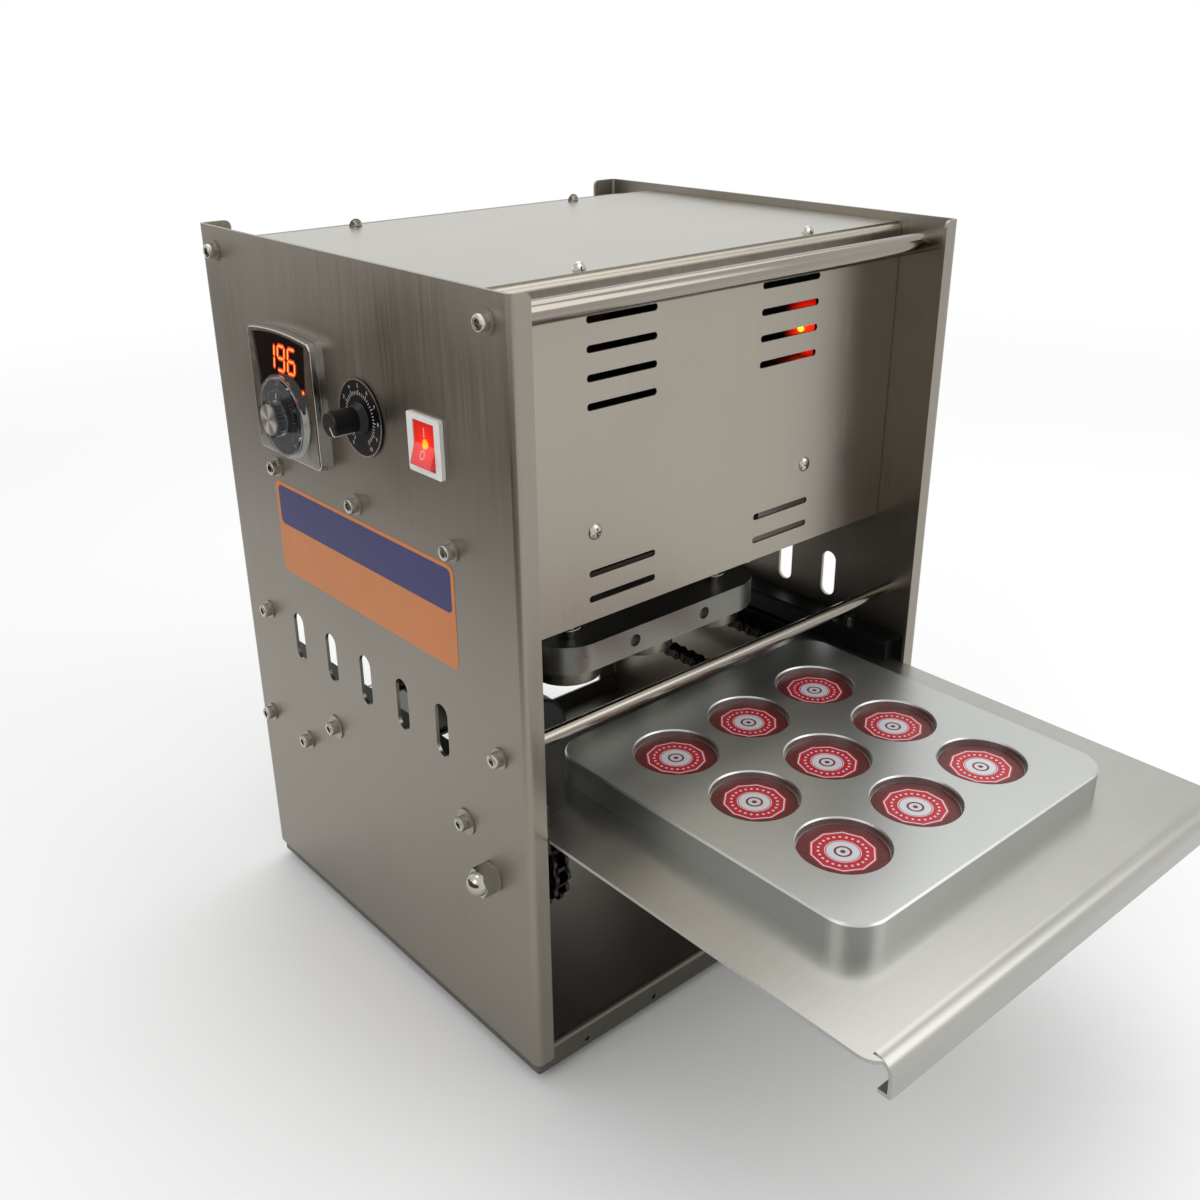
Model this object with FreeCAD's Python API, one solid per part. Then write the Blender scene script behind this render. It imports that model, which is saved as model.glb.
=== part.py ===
"""Desktop foil sealer: a tray carries a mould plate with nine lidded cups under a heated, sprung press head.

Every piece is drawn in the cabinet's own frame: x from the middle plane, y from the front face
backwards, z from the bench upwards. save() then moves it so that the origin is the middle of the
space the machine takes up on the bench, with the tray out.
"""
import FreeCAD, Part
import math
import os

V = FreeCAD.Vector
os.makedirs("parts", exist_ok=True)

# Cabinet
cabinet_width = 332.0
cabinet_depth = 306.0
plate_height = 440.0
plate_lift = 14.0
sheet = 2.0
bend_inside = 2.0
front_flange = 12.0
rear_flange = 20.0
flange_corner = 4.0
running_gap = 0.05
part_gap = 0.3
screw_gap = 0.1
cut_over = 1.0

# Vent slots in the side plates
vent_count = 5
vent_pitch = 39.7
vent_width = 12.0
vent_height = 33.0
vent_behind_middle = 3.0
vent_middle_z = 204.4

# Upper chamber
panel_sheet = 1.5
panel_setback = 39.0
panel_bottom = 260.0
cover_recess = 5.0
cover_sheet = 1.2
panel_bend = 2.0
panel_top_flange = 20.0
louvre_length = 49.0
louvre_height = 4.0
louvre_pitch = 15.0
louvre_offset_x = 65.0
upper_louvres = 4
lower_louvres = 2
top_louvre_drop = 23.0
low_louvre_rise = 28.0
panel_screw_x = 85.0
panel_screw_rise = 5.0
panel_thread = 8.0
cover_screw_x = 86.5
cover_screw_inset = 11.0

# Press
bridge_bottom = 307.0
bridge_thickness = 18.0
press_behind_middle = 4.0
press_stroke = 18.5
press_plate_size = 172.0
press_plate_thickness = 14.0
column_radius = 8.0
column_offset = 66.0
column_spare = 26.5
bush_wall = 4.0
bush_flange = 4.0
bush_flange_height = 5.0
actuator_rod_radius = 8.0
actuator_tube_radius = 22.0
actuator_foot = 64.0
actuator_foot_height = 8.0
actuator_headroom = 14.8
rod_hole_gap = 4.0
rod_end_gap = 40.0

# Heater
heater_size = 180.0
heater_corner = 28.0
heater_thickness = 18.0
seal_gap = 0.3
heater_hole_radius = 4.0
heater_hole_x = 29.6
cartridge_inset = 5.0
punch_radius = 22.0
punch_height = 11.6
punch_rim = 5.0
punch_recess = 2.0
bolt_x = 62.0
bolt_y = 66.0
bolt_radius = 4.0
bolt_head_radius = 7.0
bolt_head_height = 6.0
bolt_thread_depth = 12.0
spring_length = 29.4
spring_radius = 8.0
spring_wire = 2.0
spring_turns = 4

# Tray
tray_top = 166.2
tray_front = -220.0
tray_rear = 84.0
tray_clearance = 0.5
tray_travel = 218.0
tray_corner = 12.0
lip_radius = 10.0
lip_height = 20.0
lip_hem = 7.0
lip_end_inset = 6.5
lip_relief = 1.5

# Mould plate and cups
mould_size = 222.0
mould_thickness = 17.0
mould_corner = 20.0
mould_edge = 1.0
cup_rows = 3
cup_pitch = 60.3
well_radius = 24.2
well_depth = 4.0
well_edge = 0.8
cup_rim_radius = 23.9
cup_rim_height = 0.6
cup_top_radius = 21.0
cup_base_radius = 17.0
cup_height = 31.0
cup_wall = 0.6
cup_gap = 0.4
lid_radius = 23.6
lid_thickness = 0.3
dowel_radius = 4.0
dowel_offset = 98.0
dowel_end_gap = 1.0

# Guide rails
rail_width = 19.0
rail_bottom = 148.0
rail_top = 180.0
rail_front = 9.0
rail_grip = 8.5
rail_clearance = 0.3
rail_chamfer = 1.5
rail_front_screw_y = 58.0
rail_rear_screw_inset = 106.5
rail_screw_z = 154.0
stud_front_y = 48.0
stud_spacing = 13.0
stud_depth = 5.0
stud_head_radius = 3.5
stud_head_height = 4.0

# Chain drive
chain_pitch = 9.525
chain_roller_radius = 3.175
chain_plate_half = 4.1
chain_waist_half = 2.9
chain_plate_thickness = 1.2
chain_inner_half = 2.95
chain_inset = 28.0
sprocket_teeth = 16
tooth_width = 5.2
tooth_reach = 2.6
tooth_seat_gap = 0.1
tooth_tip_width = 2.1
hub_radius = 13.0
axle_y = 35.5
axle_z = 129.0
front_axle_radius = 5.0
rear_shaft_radius = 6.0
axle_collar_radius = 9.0
axle_head_length = 3.5
bearing_outer_radius = 14.0
bearing_width = 8.0
block_thickness = 16.0
block_screw_spacing = 51.0
block_screw_z = 127.5
block_half_height = 17.0
block_end = 9.0
block_corner = 4.0
shaft_hole_gap = 2.0
bracket_thickness = 2.0
bracket_setback = 1.0

# Drive motor
gearbox_x = -40.0
gearbox_width = 64.0
gearbox_corner = 5.0
gearbox_half = 30.0
gearbox_below = 34.0
gearbox_above = 15.0
motor_radius = 24.0
motor_length = 84.0
motor_below_shaft = 8.0
motor_edge = 4.0

# Base pan
pan_top = 22.0
pan_lip = 16.0
pan_rear_rise = 14.5
pan_hole_radius = 1.75
pan_hole_rise = 5.0
pan_inner_hole_x = 73.0
pan_outer_hole_x = 127.0
foot_radius = 14.0
foot_taper = 2.0
foot_button_height = 3.0
foot_inset_x = 42.0
foot_inset_y = 45.0

# Cross rods
top_rod_radius = 6.0
top_rod_drop = 14.0
top_rod_front = 17.0
top_rod_rear_inset = 19.0
mid_rod_radius = 4.0
mid_rod_z = 211.0
mid_rod_front = 23.0
mid_rod_rear_inset = 32.0

# Fasteners
screw_radius = 2.5
screw_head_radius = 4.25
screw_head_height = 5.0
screw_engagement = 10.0
thread_spare = 2.0
washer_radius = 6.0
washer_thickness = 1.0
large_washer_radius = 8.0
pan_screw_radius = 2.0
pan_head_radius = 4.6
pan_head_height = 2.2
bridge_screw_front = 56.0
bridge_screw_middle = 148.0
bridge_screw_rear_inset = 68.0
bridge_screw_rise = 11.0
nut_half_flat = 8.0
nut_washer_radius = 9.2
nut_height = 9.0
nut_dome_radius = 7.2
nut_dome_height = 6.5

# Temperature controller on the left plate
controller_inset = 61.5
controller_rise = 44.8
controller_width = 71.0
controller_face_height = 74.0
controller_arch = 2.6
controller_proud = 8.0
controller_taper = 1.6
controller_corner = 4.0
controller_edge = 0.8
controller_seam = 3.6
controller_seam_width = 0.4
controller_body = 66.0
controller_body_depth = 62.0
window_top_half = 30.0
window_low_half = 25.0
window_border = 2.0
window_drop = 6.0
window_sheet = 1.2
window_sunk = 0.6
dial_drop = 12.0
dial_radius = 22.7
dial_ring_radius = 24.2
dial_ring_height = 2.0
dial_sheet = 1.6
dial_barrel_radius = 10.4
dial_barrel_length = 6.0
dial_flutes = 24
dial_flute_radius = 0.7
dial_flute_out = 0.3
dial_ring_depth = 2.0
dial_cap_radius = 9.0
dial_cap_height = 0.8
dial_spindle_radius = 3.0
dial_spindle_depth = 9.0
spindle_end_gap = 1.0

# Timer
timer_share = 0.5677
timer_rise = 45.7
timer_disc_radius = 21.4
timer_disc_thickness = 1.0
timer_body_radius = 12.0
timer_body_depth = 24.0
timer_spindle_radius = 3.0
timer_hole_gap = 1.0
timer_stem_depth = 9.0
timer_knob_radius = 7.0
timer_knob_edge = 0.8
timer_skirt_radius = 9.0
timer_skirt_height = 4.0
timer_proud = 20.0

# Power switch
switch_inset = 33.0
switch_rise = 45.0
switch_width = 29.0
switch_tall = 30.8
switch_bezel = 2.2
switch_corner = 1.5
switch_body_width = 24.0
switch_body_tall = 26.0
switch_body_depth = 26.0
rocker_width = 18.0
rocker_tall = 24.0
rocker_angle = 9.0
rocker_swing = 18.0
rocker_depth = 7.0
rocker_foot = 0.4
rocker_end_gap = 0.6
rocker_heel = 1.5
rocker_pivot_radius = 1.5

# Electrics in the chamber
supply_width = 54.0
supply_length = 150.0
supply_height = 42.0
supply_edge = 2.0
supply_x = 96.0
supply_y = 70.0
board_thickness = 1.6
board_headroom = 18.8
board_length = 130.0
inlet_x = 60.0
inlet_rise = 25.0
inlet_width = 48.0
inlet_tall = 27.0
inlet_flange = 3.0
inlet_corner = 3.0
inlet_lip_x = 6.0
inlet_lip_z = 3.0
inlet_depth = 30.0
socket_width = 24.0
socket_tall = 16.0
socket_depth = 14.0
socket_pin_width = 2.0
socket_pin_tall = 5.0
socket_pin_spacing = 7.0
socket_pin_rise = 2.5
socket_pin_drop = 1.5

# Worked out once
half_width = cabinet_width / 2
plate_top = plate_lift + plate_height
plate_inner = half_width - sheet
cover_top = plate_top - cover_recess
panel_top = cover_top - cover_sheet
panel_half = plate_inner - part_gap
vent_middle_y = cabinet_depth / 2 + vent_behind_middle
panel_back = panel_setback + panel_sheet
rear_panel_y = cabinet_depth - panel_setback
bridge_top = bridge_bottom + bridge_thickness
panel_screw_z = bridge_bottom + panel_screw_rise
press_y = cabinet_depth / 2 + press_behind_middle
tray_half = half_width - front_flange - tray_clearance
tray_bottom = tray_top - sheet
mould_top = tray_top + mould_thickness
mould_y = press_y - tray_travel
lid_top = mould_top - well_depth
punch_bottom = lid_top + seal_gap + press_stroke
heater_bottom = punch_bottom + punch_height
heater_top = heater_bottom + heater_thickness
press_plate_bottom = heater_top + spring_length
press_plate_top = press_plate_bottom + press_plate_thickness
column_top = bridge_top + bush_flange_height + press_stroke + column_spare
actuator_top = panel_top - actuator_headroom
chain_x = half_width - chain_inset
pitch_radius = chain_pitch / (2 * math.sin(math.pi / sprocket_teeth))
block_half_length = block_screw_spacing / 2 + block_end
chain_room = cabinet_depth - sheet - bend_inside - part_gap - block_half_length - axle_y
chain_span_pitches = math.floor(chain_room / chain_pitch)
shaft_y = axle_y + chain_span_pitches * chain_pitch
rail_inner = plate_inner - rail_width
controller_y = rear_panel_y - controller_inset
controller_z = bridge_top + controller_rise
dial_z = controller_z - dial_drop
switch_y = panel_setback + switch_inset
switch_z = bridge_top + switch_rise
timer_z = bridge_top + timer_rise
switch_edge = switch_y + switch_width / 2
timer_y = switch_edge + timer_share * (controller_y - controller_width / 2 - switch_edge)
ring_out = controller_proud + dial_ring_height
dial_back = ring_out + part_gap
dial_proud = dial_back + dial_sheet
dial_tip = dial_proud + dial_barrel_length + dial_cap_height
left_reach = max(timer_proud, dial_tip)
right_reach = washer_thickness + nut_height + nut_dome_height
shift = V((left_reach - right_reach) / 2, -(tray_front + cabinet_depth) / 2, 0)


def box(x0, x1, y0, y1, z0, z1):
    """A box between two corners."""
    return Part.makeBox(x1 - x0, y1 - y0, z1 - z0, V(x0, y0, z0))


def rod_x(x0, x1, y, z, r):
    """A cylinder along x."""
    return Part.makeCylinder(r, x1 - x0, V(x0, y, z), V(1, 0, 0))


def rod_y(y0, y1, x, z, r):
    """A cylinder along y."""
    return Part.makeCylinder(r, y1 - y0, V(x, y0, z), V(0, 1, 0))


def rod_z(z0, z1, x, y, r):
    """A cylinder along z."""
    return Part.makeCylinder(r, z1 - z0, V(x, y, z0), V(0, 0, 1))


def extrude(points, direction):
    """A closed flat outline pushed along a direction."""
    wire = Part.makePolygon([V(*p) for p in points] + [V(*points[0])])
    return Part.Face(wire).extrude(V(*direction))


def edges_near(shape, axis, places, tolerance=0.01):
    """The straight edges along one axis whose other two coordinates match one of the places."""
    others = [i for i in range(3) if i != axis]
    found = []
    for edge in shape.Edges:
        ends = [edge.Vertexes[0].Point, edge.Vertexes[-1].Point]
        along = abs(ends[0][axis] - ends[1][axis])
        if along < tolerance or abs(edge.Length - along) > tolerance:
            continue
        for place in places:
            if all(abs(ends[0][i] - p) < tolerance for i, p in zip(others, place)):
                found.append(edge)
    return found


def round_edges(shape, axis, places, radius):
    """Rounds the chosen straight edges."""
    return shape.makeFillet(radius, edges_near(shape, axis, places))


def rounded_block(x0, x1, y0, y1, z0, z1, radius, axis):
    """A box with its four edges along one axis rounded."""
    block = box(x0, x1, y0, y1, z0, z1)
    spans = [(x0, x1), (y0, y1), (z0, z1)]
    first, second = [spans[i] for i in range(3) if i != axis]
    return round_edges(block, axis, [(a, b) for a in first for b in second], radius)


def slot(centre, length, height, depth, axis):
    """A round ended slot that runs along one axis and cuts along y, or along x for an upright slot."""
    half = (length - height) / 2
    c = V(*centre)
    if axis == 2:
        body = box(c.x - depth, c.x + depth, c.y - height / 2, c.y + height / 2, c.z - half, c.z + half)
        ends = [rod_x(c.x - depth, c.x + depth, c.y, c.z + s * half, height / 2) for s in (-1, 1)]
    else:
        body = box(c.x - half, c.x + half, c.y - depth, c.y + depth, c.z - height / 2, c.z + height / 2)
        ends = [rod_y(c.y - depth, c.y + depth, c.x + s * half, c.z, height / 2) for s in (-1, 1)]
    return body.multiFuse(ends).removeSplitter()


def mirrored(shape):
    """The same piece on the other side of the middle plane."""
    return shape.mirror(V(0, 0, 0), V(1, 0, 0))


def save(node, *solids):
    """Moves the solids into the machine's frame and writes them as one node."""
    moved = [s.copy() for s in solids]
    for s in moved:
        s.translate(shift)
    shape = moved[0] if len(moved) == 1 else Part.makeCompound(moved)
    shape.exportStep("parts/" + node + ".step")


def cup_places(y):
    """Middles of the nine cups around a row middle y."""
    steps = [i - (cup_rows - 1) / 2 for i in range(cup_rows)]
    return [(i * cup_pitch, y + j * cup_pitch) for j in steps for i in steps]


# Side plates, drawn as the right plate and mirrored


def right_profile():
    """A sheet bent inwards at the front and the back."""
    w, d = half_width, cabinet_depth
    outline = [
        (w, 0), (w, d), (w - rear_flange, d), (w - rear_flange, d - sheet), (w - sheet, d - sheet),
        (w - sheet, sheet), (w - front_flange, sheet), (w - front_flange, 0),
    ]
    plate = extrude([(x, y, plate_lift) for x, y in outline], (0, 0, plate_height))
    plate = round_edges(plate, 2, [(w, 0), (w, d)], bend_inside + sheet)
    plate = round_edges(plate, 2, [(w - sheet, sheet), (w - sheet, d - sheet)], bend_inside)
    corners = edges_near(plate, 1, [(w - front_flange, plate_top), (w - rear_flange, plate_top)])
    return plate.makeFillet(flange_corner, corners)


def bore_through_plate(plate, y, z, radius):
    return plate.cut(rod_x(half_width - 2 * sheet, half_width + sheet, y, z, radius))


top_rod_z = plate_top - top_rod_drop
top_rod_y = (top_rod_front, cabinet_depth - top_rod_rear_inset)
mid_rod_y = (mid_rod_front, cabinet_depth - mid_rod_rear_inset)
bridge_screw_z = bridge_bottom + bridge_screw_rise
bridge_screw_y = (bridge_screw_front, bridge_screw_middle, cabinet_depth - bridge_screw_rear_inset)
rail_screw_y = (rail_front_screw_y, cabinet_depth - rail_rear_screw_inset)
block_screw_y = (shaft_y - block_screw_spacing / 2, shaft_y + block_screw_spacing / 2)
small_screws = [(y, top_rod_z) for y in top_rod_y]
small_screws += [(y, mid_rod_z) for y in mid_rod_y]
small_screws += [(y, bridge_screw_z) for y in bridge_screw_y]
small_screws += [(y, block_screw_z) for y in block_screw_y]
large_screws = [(y, rail_screw_z) for y in rail_screw_y]

plate = right_profile()
for i in range(vent_count):
    vent_y = vent_middle_y + (i - (vent_count - 1) / 2) * vent_pitch
    plate = plate.cut(slot((half_width, vent_y, vent_middle_z), vent_height, vent_width, 3 * sheet, 2))
for y, z in small_screws + large_screws:
    plate = bore_through_plate(plate, y, z, screw_radius + screw_gap)
plate = bore_through_plate(plate, axle_y, axle_z, front_axle_radius + screw_gap)
save("right_side_plate", plate)

left_plate = mirrored(plate)
cut_out = controller_body / 2 + part_gap
left_plate = left_plate.cut(box(
    -half_width - sheet, -plate_inner + 2 * sheet, controller_y - cut_out, controller_y + cut_out,
    controller_z - cut_out, controller_z + cut_out))
left_plate = left_plate.cut(rod_x(
    -half_width - sheet, -plate_inner + 2 * sheet, timer_y, timer_z, timer_spindle_radius + timer_hole_gap))
left_plate = left_plate.cut(box(
    -half_width - sheet, -plate_inner + 2 * sheet,
    switch_y - switch_body_width / 2 - part_gap, switch_y + switch_body_width / 2 + part_gap,
    switch_z - switch_body_tall / 2 - part_gap, switch_z + switch_body_tall / 2 + part_gap))
save("left_side_plate", left_plate)


# Cross rods, screws and washers


def tapped_hole(y, z):
    """The cutter for a side screw's thread in what the right plate carries."""
    return rod_x(plate_inner - screw_engagement - thread_spare, plate_inner + cut_over, y, z,
                 screw_radius + screw_gap)


def cross_rod(y, z, radius):
    """A bar between the side plates, tapped at both ends."""
    bar = rod_x(-plate_inner, plate_inner, y, z, radius)
    hole = tapped_hole(y, z)
    return bar.cut(hole).cut(mirrored(hole))


save("top_rods", *[cross_rod(y, top_rod_z, top_rod_radius) for y in top_rod_y])
save("middle_rods", *[cross_rod(y, mid_rod_z, mid_rod_radius) for y in mid_rod_y])


def side_washer(y, z, radius, bolt_radius):
    ring = rod_x(half_width, half_width + washer_thickness, y, z, radius)
    return ring.cut(rod_x(half_width - cut_over, half_width + washer_thickness + cut_over, y, z,
                          bolt_radius + screw_gap))


def side_screw(y, z):
    seat = half_width + washer_thickness
    head = rod_x(seat, seat + screw_head_height, y, z, screw_head_radius)
    shank = rod_x(plate_inner - screw_engagement, seat, y, z, screw_radius)
    return head.fuse(shank)


right_washers = [side_washer(y, z, washer_radius, screw_radius) for y, z in small_screws]
right_washers += [side_washer(y, z, large_washer_radius, screw_radius) for y, z in large_screws]
right_washers.append(side_washer(axle_y, axle_z, nut_washer_radius, front_axle_radius))
right_screws = [side_screw(y, z) for y, z in small_screws + large_screws]
save("side_washers", *right_washers, *[mirrored(w) for w in right_washers])
save("side_cap_screws", *right_screws, *[mirrored(s) for s in right_screws])


# Upper chamber


def louvres(face_y, rows):
    """Cutters for the rows of slots at both sides of a panel."""
    return [
        slot((side * louvre_offset_x, face_y, z), louvre_length, louvre_height, panel_sheet + cut_over, 0)
        for z in rows for side in (-1, 1)
    ]


upper_rows = [cover_top - top_louvre_drop - i * louvre_pitch for i in range(upper_louvres)]
low_rows = [panel_bottom + low_louvre_rise - i * louvre_pitch for i in range(lower_louvres)]


def chamber_panel(rows):
    """A panel with its top edge bent back under the cover, drawn at the front."""
    f, b = panel_setback, panel_back
    outline = [
        (f, panel_bottom), (f, panel_top), (f + panel_top_flange, panel_top),
        (f + panel_top_flange, panel_top - panel_sheet), (b, panel_top - panel_sheet), (b, panel_bottom),
    ]
    panel = extrude([(-panel_half, y, z) for y, z in outline], (2 * panel_half, 0, 0))
    panel = round_edges(panel, 0, [(f, panel_top)], panel_bend + panel_sheet)
    panel = round_edges(panel, 0, [(b, panel_top - panel_sheet)], panel_bend)
    panel = panel.cut(Part.makeCompound(louvres(f, rows)))
    for side in (-1, 1):
        hole = rod_y(f - cut_over, b + cut_over, side * panel_screw_x, panel_screw_z,
                     pan_screw_radius + screw_gap)
        top_hole = rod_z(panel_top - panel_sheet - cut_over, panel_top + cut_over, side * cover_screw_x,
                         f + cover_screw_inset, pan_screw_radius + screw_gap)
        panel = panel.cut(hole).cut(top_hole)
    return panel


def back_to_front(shape):
    """Turns a piece drawn at the front so that it faces backwards."""
    return shape.mirror(V(0, cabinet_depth / 2, 0), V(0, 1, 0))


save("front_panel", chamber_panel(upper_rows + low_rows))
rear = back_to_front(chamber_panel(upper_rows[1:]))
inlet_z = bridge_top + inlet_rise
core_x = inlet_width / 2 - inlet_lip_x
core_z = inlet_tall / 2 - inlet_lip_z
rear = rear.cut(box(inlet_x - core_x, inlet_x + core_x, rear_panel_y - panel_sheet - cut_over,
                    rear_panel_y + cut_over, inlet_z - core_z, inlet_z + core_z))
save("rear_panel", rear)

cover_front = panel_setback + panel_bend + panel_sheet
cover = box(-panel_half, panel_half, cover_front, cabinet_depth - cover_front, panel_top, cover_top)
cover_screw_y = panel_setback + cover_screw_inset
cover_screws = [(side * cover_screw_x, y) for side in (-1, 1)
                for y in (cover_screw_y, cabinet_depth - cover_screw_y)]
for x, y in cover_screws:
    cover = cover.cut(rod_z(panel_top - cut_over, cover_top + cut_over, x, y, pan_screw_radius + screw_gap))
save("top_cover", cover)


def pan_head_screw(base, direction, shank_length):
    """A cross recess screw with a low domed head."""
    dome = (pan_head_radius ** 2 + pan_head_height ** 2) / (2 * pan_head_height)
    ball = Part.makeSphere(dome, V(0, 0, pan_head_height - dome))
    head = ball.common(Part.makeCylinder(pan_head_radius, pan_head_height, V(0, 0, 0)))
    screw = head.fuse(Part.makeCylinder(pan_screw_radius, shank_length, V(0, 0, -shank_length)))
    turn = FreeCAD.Rotation(V(0, 0, 1), V(*direction))
    screw.Placement = FreeCAD.Placement(V(*base), turn)
    return screw


panel_screws = [pan_head_screw((x, y, cover_top), (0, 0, 1), cover_sheet + panel_sheet)
                for x, y in cover_screws]
for side in (-1, 1):
    for y, way in ((panel_setback, -1), (cabinet_depth - panel_setback, 1)):
        place = (side * panel_screw_x, y, panel_screw_z)
        panel_screws.append(pan_head_screw(place, (0, way, 0), panel_thread))
save("panel_screws", *panel_screws)

bridge = box(-plate_inner, plate_inner, panel_back, cabinet_depth - panel_back, bridge_bottom, bridge_top)
for y in bridge_screw_y:
    hole = tapped_hole(y, bridge_screw_z)
    bridge = bridge.cut(hole).cut(mirrored(hole))
thread_end = panel_setback + panel_thread + thread_spare
for side in (-1, 1):
    for y0, y1 in ((panel_back - cut_over, thread_end),
                   (cabinet_depth - thread_end, cabinet_depth - panel_back + cut_over)):
        bridge = bridge.cut(rod_y(y0, y1, side * panel_screw_x, panel_screw_z, pan_screw_radius + screw_gap))
column_places = [(column_offset, press_y), (-column_offset, press_y),
                 (0, press_y + column_offset), (0, press_y - column_offset)]
bush_radius = column_radius + bush_wall
for x, y in column_places:
    bridge = bridge.cut(rod_z(bridge_bottom - cut_over, bridge_top + cut_over, x, y, bush_radius))
bridge = bridge.cut(rod_z(bridge_bottom - cut_over, bridge_top + cut_over, 0, press_y,
                          actuator_rod_radius + rod_hole_gap))
save("bridge_plate", bridge)


# Press


def guide_bush(x, y):
    """A flanged sleeve pressed into the bridge plate from above."""
    sleeve = rod_z(bridge_bottom, bridge_top, x, y, bush_radius)
    collar = rod_z(bridge_top, bridge_top + bush_flange_height, x, y, bush_radius + bush_flange)
    bore = rod_z(bridge_bottom - cut_over, bridge_top + bush_flange_height + cut_over, x, y,
                 column_radius + running_gap)
    return sleeve.fuse(collar).cut(bore)


save("guide_bushes", *[guide_bush(x, y) for x, y in column_places])
save("guide_columns", *[rod_z(press_plate_bottom, column_top, x, y, column_radius) for x, y in column_places])

press_half = press_plate_size / 2
press_plate = rounded_block(-press_half, press_half, press_y - press_half, press_y + press_half,
                            press_plate_bottom, press_plate_top, 2 * bolt_radius, 2)
bolt_places = [(sx * bolt_x, press_y + sy * bolt_y) for sx in (-1, 1) for sy in (-1, 1)]
for x, y in column_places:
    press_plate = press_plate.cut(rod_z(press_plate_bottom - cut_over, press_plate_top + cut_over, x, y,
                                        column_radius))
for x, y in bolt_places:
    press_plate = press_plate.cut(rod_z(press_plate_bottom - cut_over, press_plate_top + cut_over, x, y,
                                        bolt_radius + running_gap))
save("press_plate", press_plate)

save("actuator_rod", rod_z(press_plate_top, actuator_top - rod_end_gap, 0, press_y, actuator_rod_radius))
foot_half = actuator_foot / 2 - bush_flange
tube = actuator_tube_radius
case_bottom = (bridge_top + actuator_top) / 2
actuator = rounded_block(-foot_half, foot_half, press_y - foot_half, press_y + foot_half,
                         bridge_top, bridge_top + actuator_foot_height, bush_wall, 2)
actuator = actuator.fuse(rod_z(bridge_top, actuator_top, 0, press_y, tube))
actuator = actuator.fuse(rounded_block(-tube, tube, press_y, press_y + 2 * tube, case_bottom, actuator_top,
                                       bush_wall, 2))
actuator = actuator.cut(rod_z(bridge_top - cut_over, actuator_top - bush_wall, 0, press_y,
                              actuator_rod_radius + part_gap))
save("linear_actuator", actuator)


# Heater

heater_half = heater_size / 2
heater = rounded_block(-heater_half, heater_half, press_y - heater_half, press_y + heater_half,
                       heater_bottom, heater_top, heater_corner, 2)
heater_middle = heater_bottom + heater_thickness / 2
for side in (-1, 1):
    heater = heater.cut(rod_y(press_y - heater_half - cut_over, press_y + heater_half + cut_over,
                              side * heater_hole_x, heater_middle, heater_hole_radius))
for x, y in bolt_places:
    heater = heater.cut(rod_z(heater_top - bolt_thread_depth - cut_over, heater_top + cut_over, x, y,
                              bolt_radius))
save("heater_plate", heater)
save("cartridge_heaters", *[rod_y(press_y - heater_half + cartridge_inset, press_y + heater_half,
                                  side * heater_hole_x, heater_middle, heater_hole_radius - running_gap)
                            for side in (-1, 1)])


def sealing_punch(x, y):
    """A round punch with a raised sealing rim around a shallow recess."""
    punch = rod_z(punch_bottom, heater_bottom, x, y, punch_radius)
    return punch.cut(rod_z(punch_bottom - cut_over, punch_bottom + punch_recess, x, y,
                           punch_radius - punch_rim))


save("sealing_punches", *[sealing_punch(x, y) for x, y in cup_places(press_y)])


def shoulder_bolt(x, y):
    shank = rod_z(heater_top - bolt_thread_depth, press_plate_top, x, y, bolt_radius)
    return shank.fuse(rod_z(press_plate_top, press_plate_top + bolt_head_height, x, y, bolt_head_radius))


save("shoulder_bolts", *[shoulder_bolt(x, y) for x, y in bolt_places])


def press_spring(x, y):
    """The outer shape of a coil spring between heater and press plate: a sleeve with one wave per turn."""
    step = spring_length / spring_turns
    outline = [V(spring_radius - spring_wire, 0, 0)]
    for i in range(spring_turns):
        outline.append(V(spring_radius - spring_wire / 2, 0, i * step))
        outline.append(V(spring_radius, 0, (i + 0.5) * step))
    outline.append(V(spring_radius - spring_wire / 2, 0, spring_length))
    outline.append(V(spring_radius - spring_wire, 0, spring_length))
    face = Part.Face(Part.makePolygon(outline + [outline[0]]))
    sleeve = face.revolve(V(0, 0, 0), V(0, 0, 1), 360)
    sleeve.translate(V(x, y, heater_top))
    return sleeve


save("press_springs", *[press_spring(x, y) for x, y in bolt_places])


# Tray, mould plate and cups

flat_front = tray_front + lip_radius
lip_half = tray_half - lip_end_inset


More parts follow.
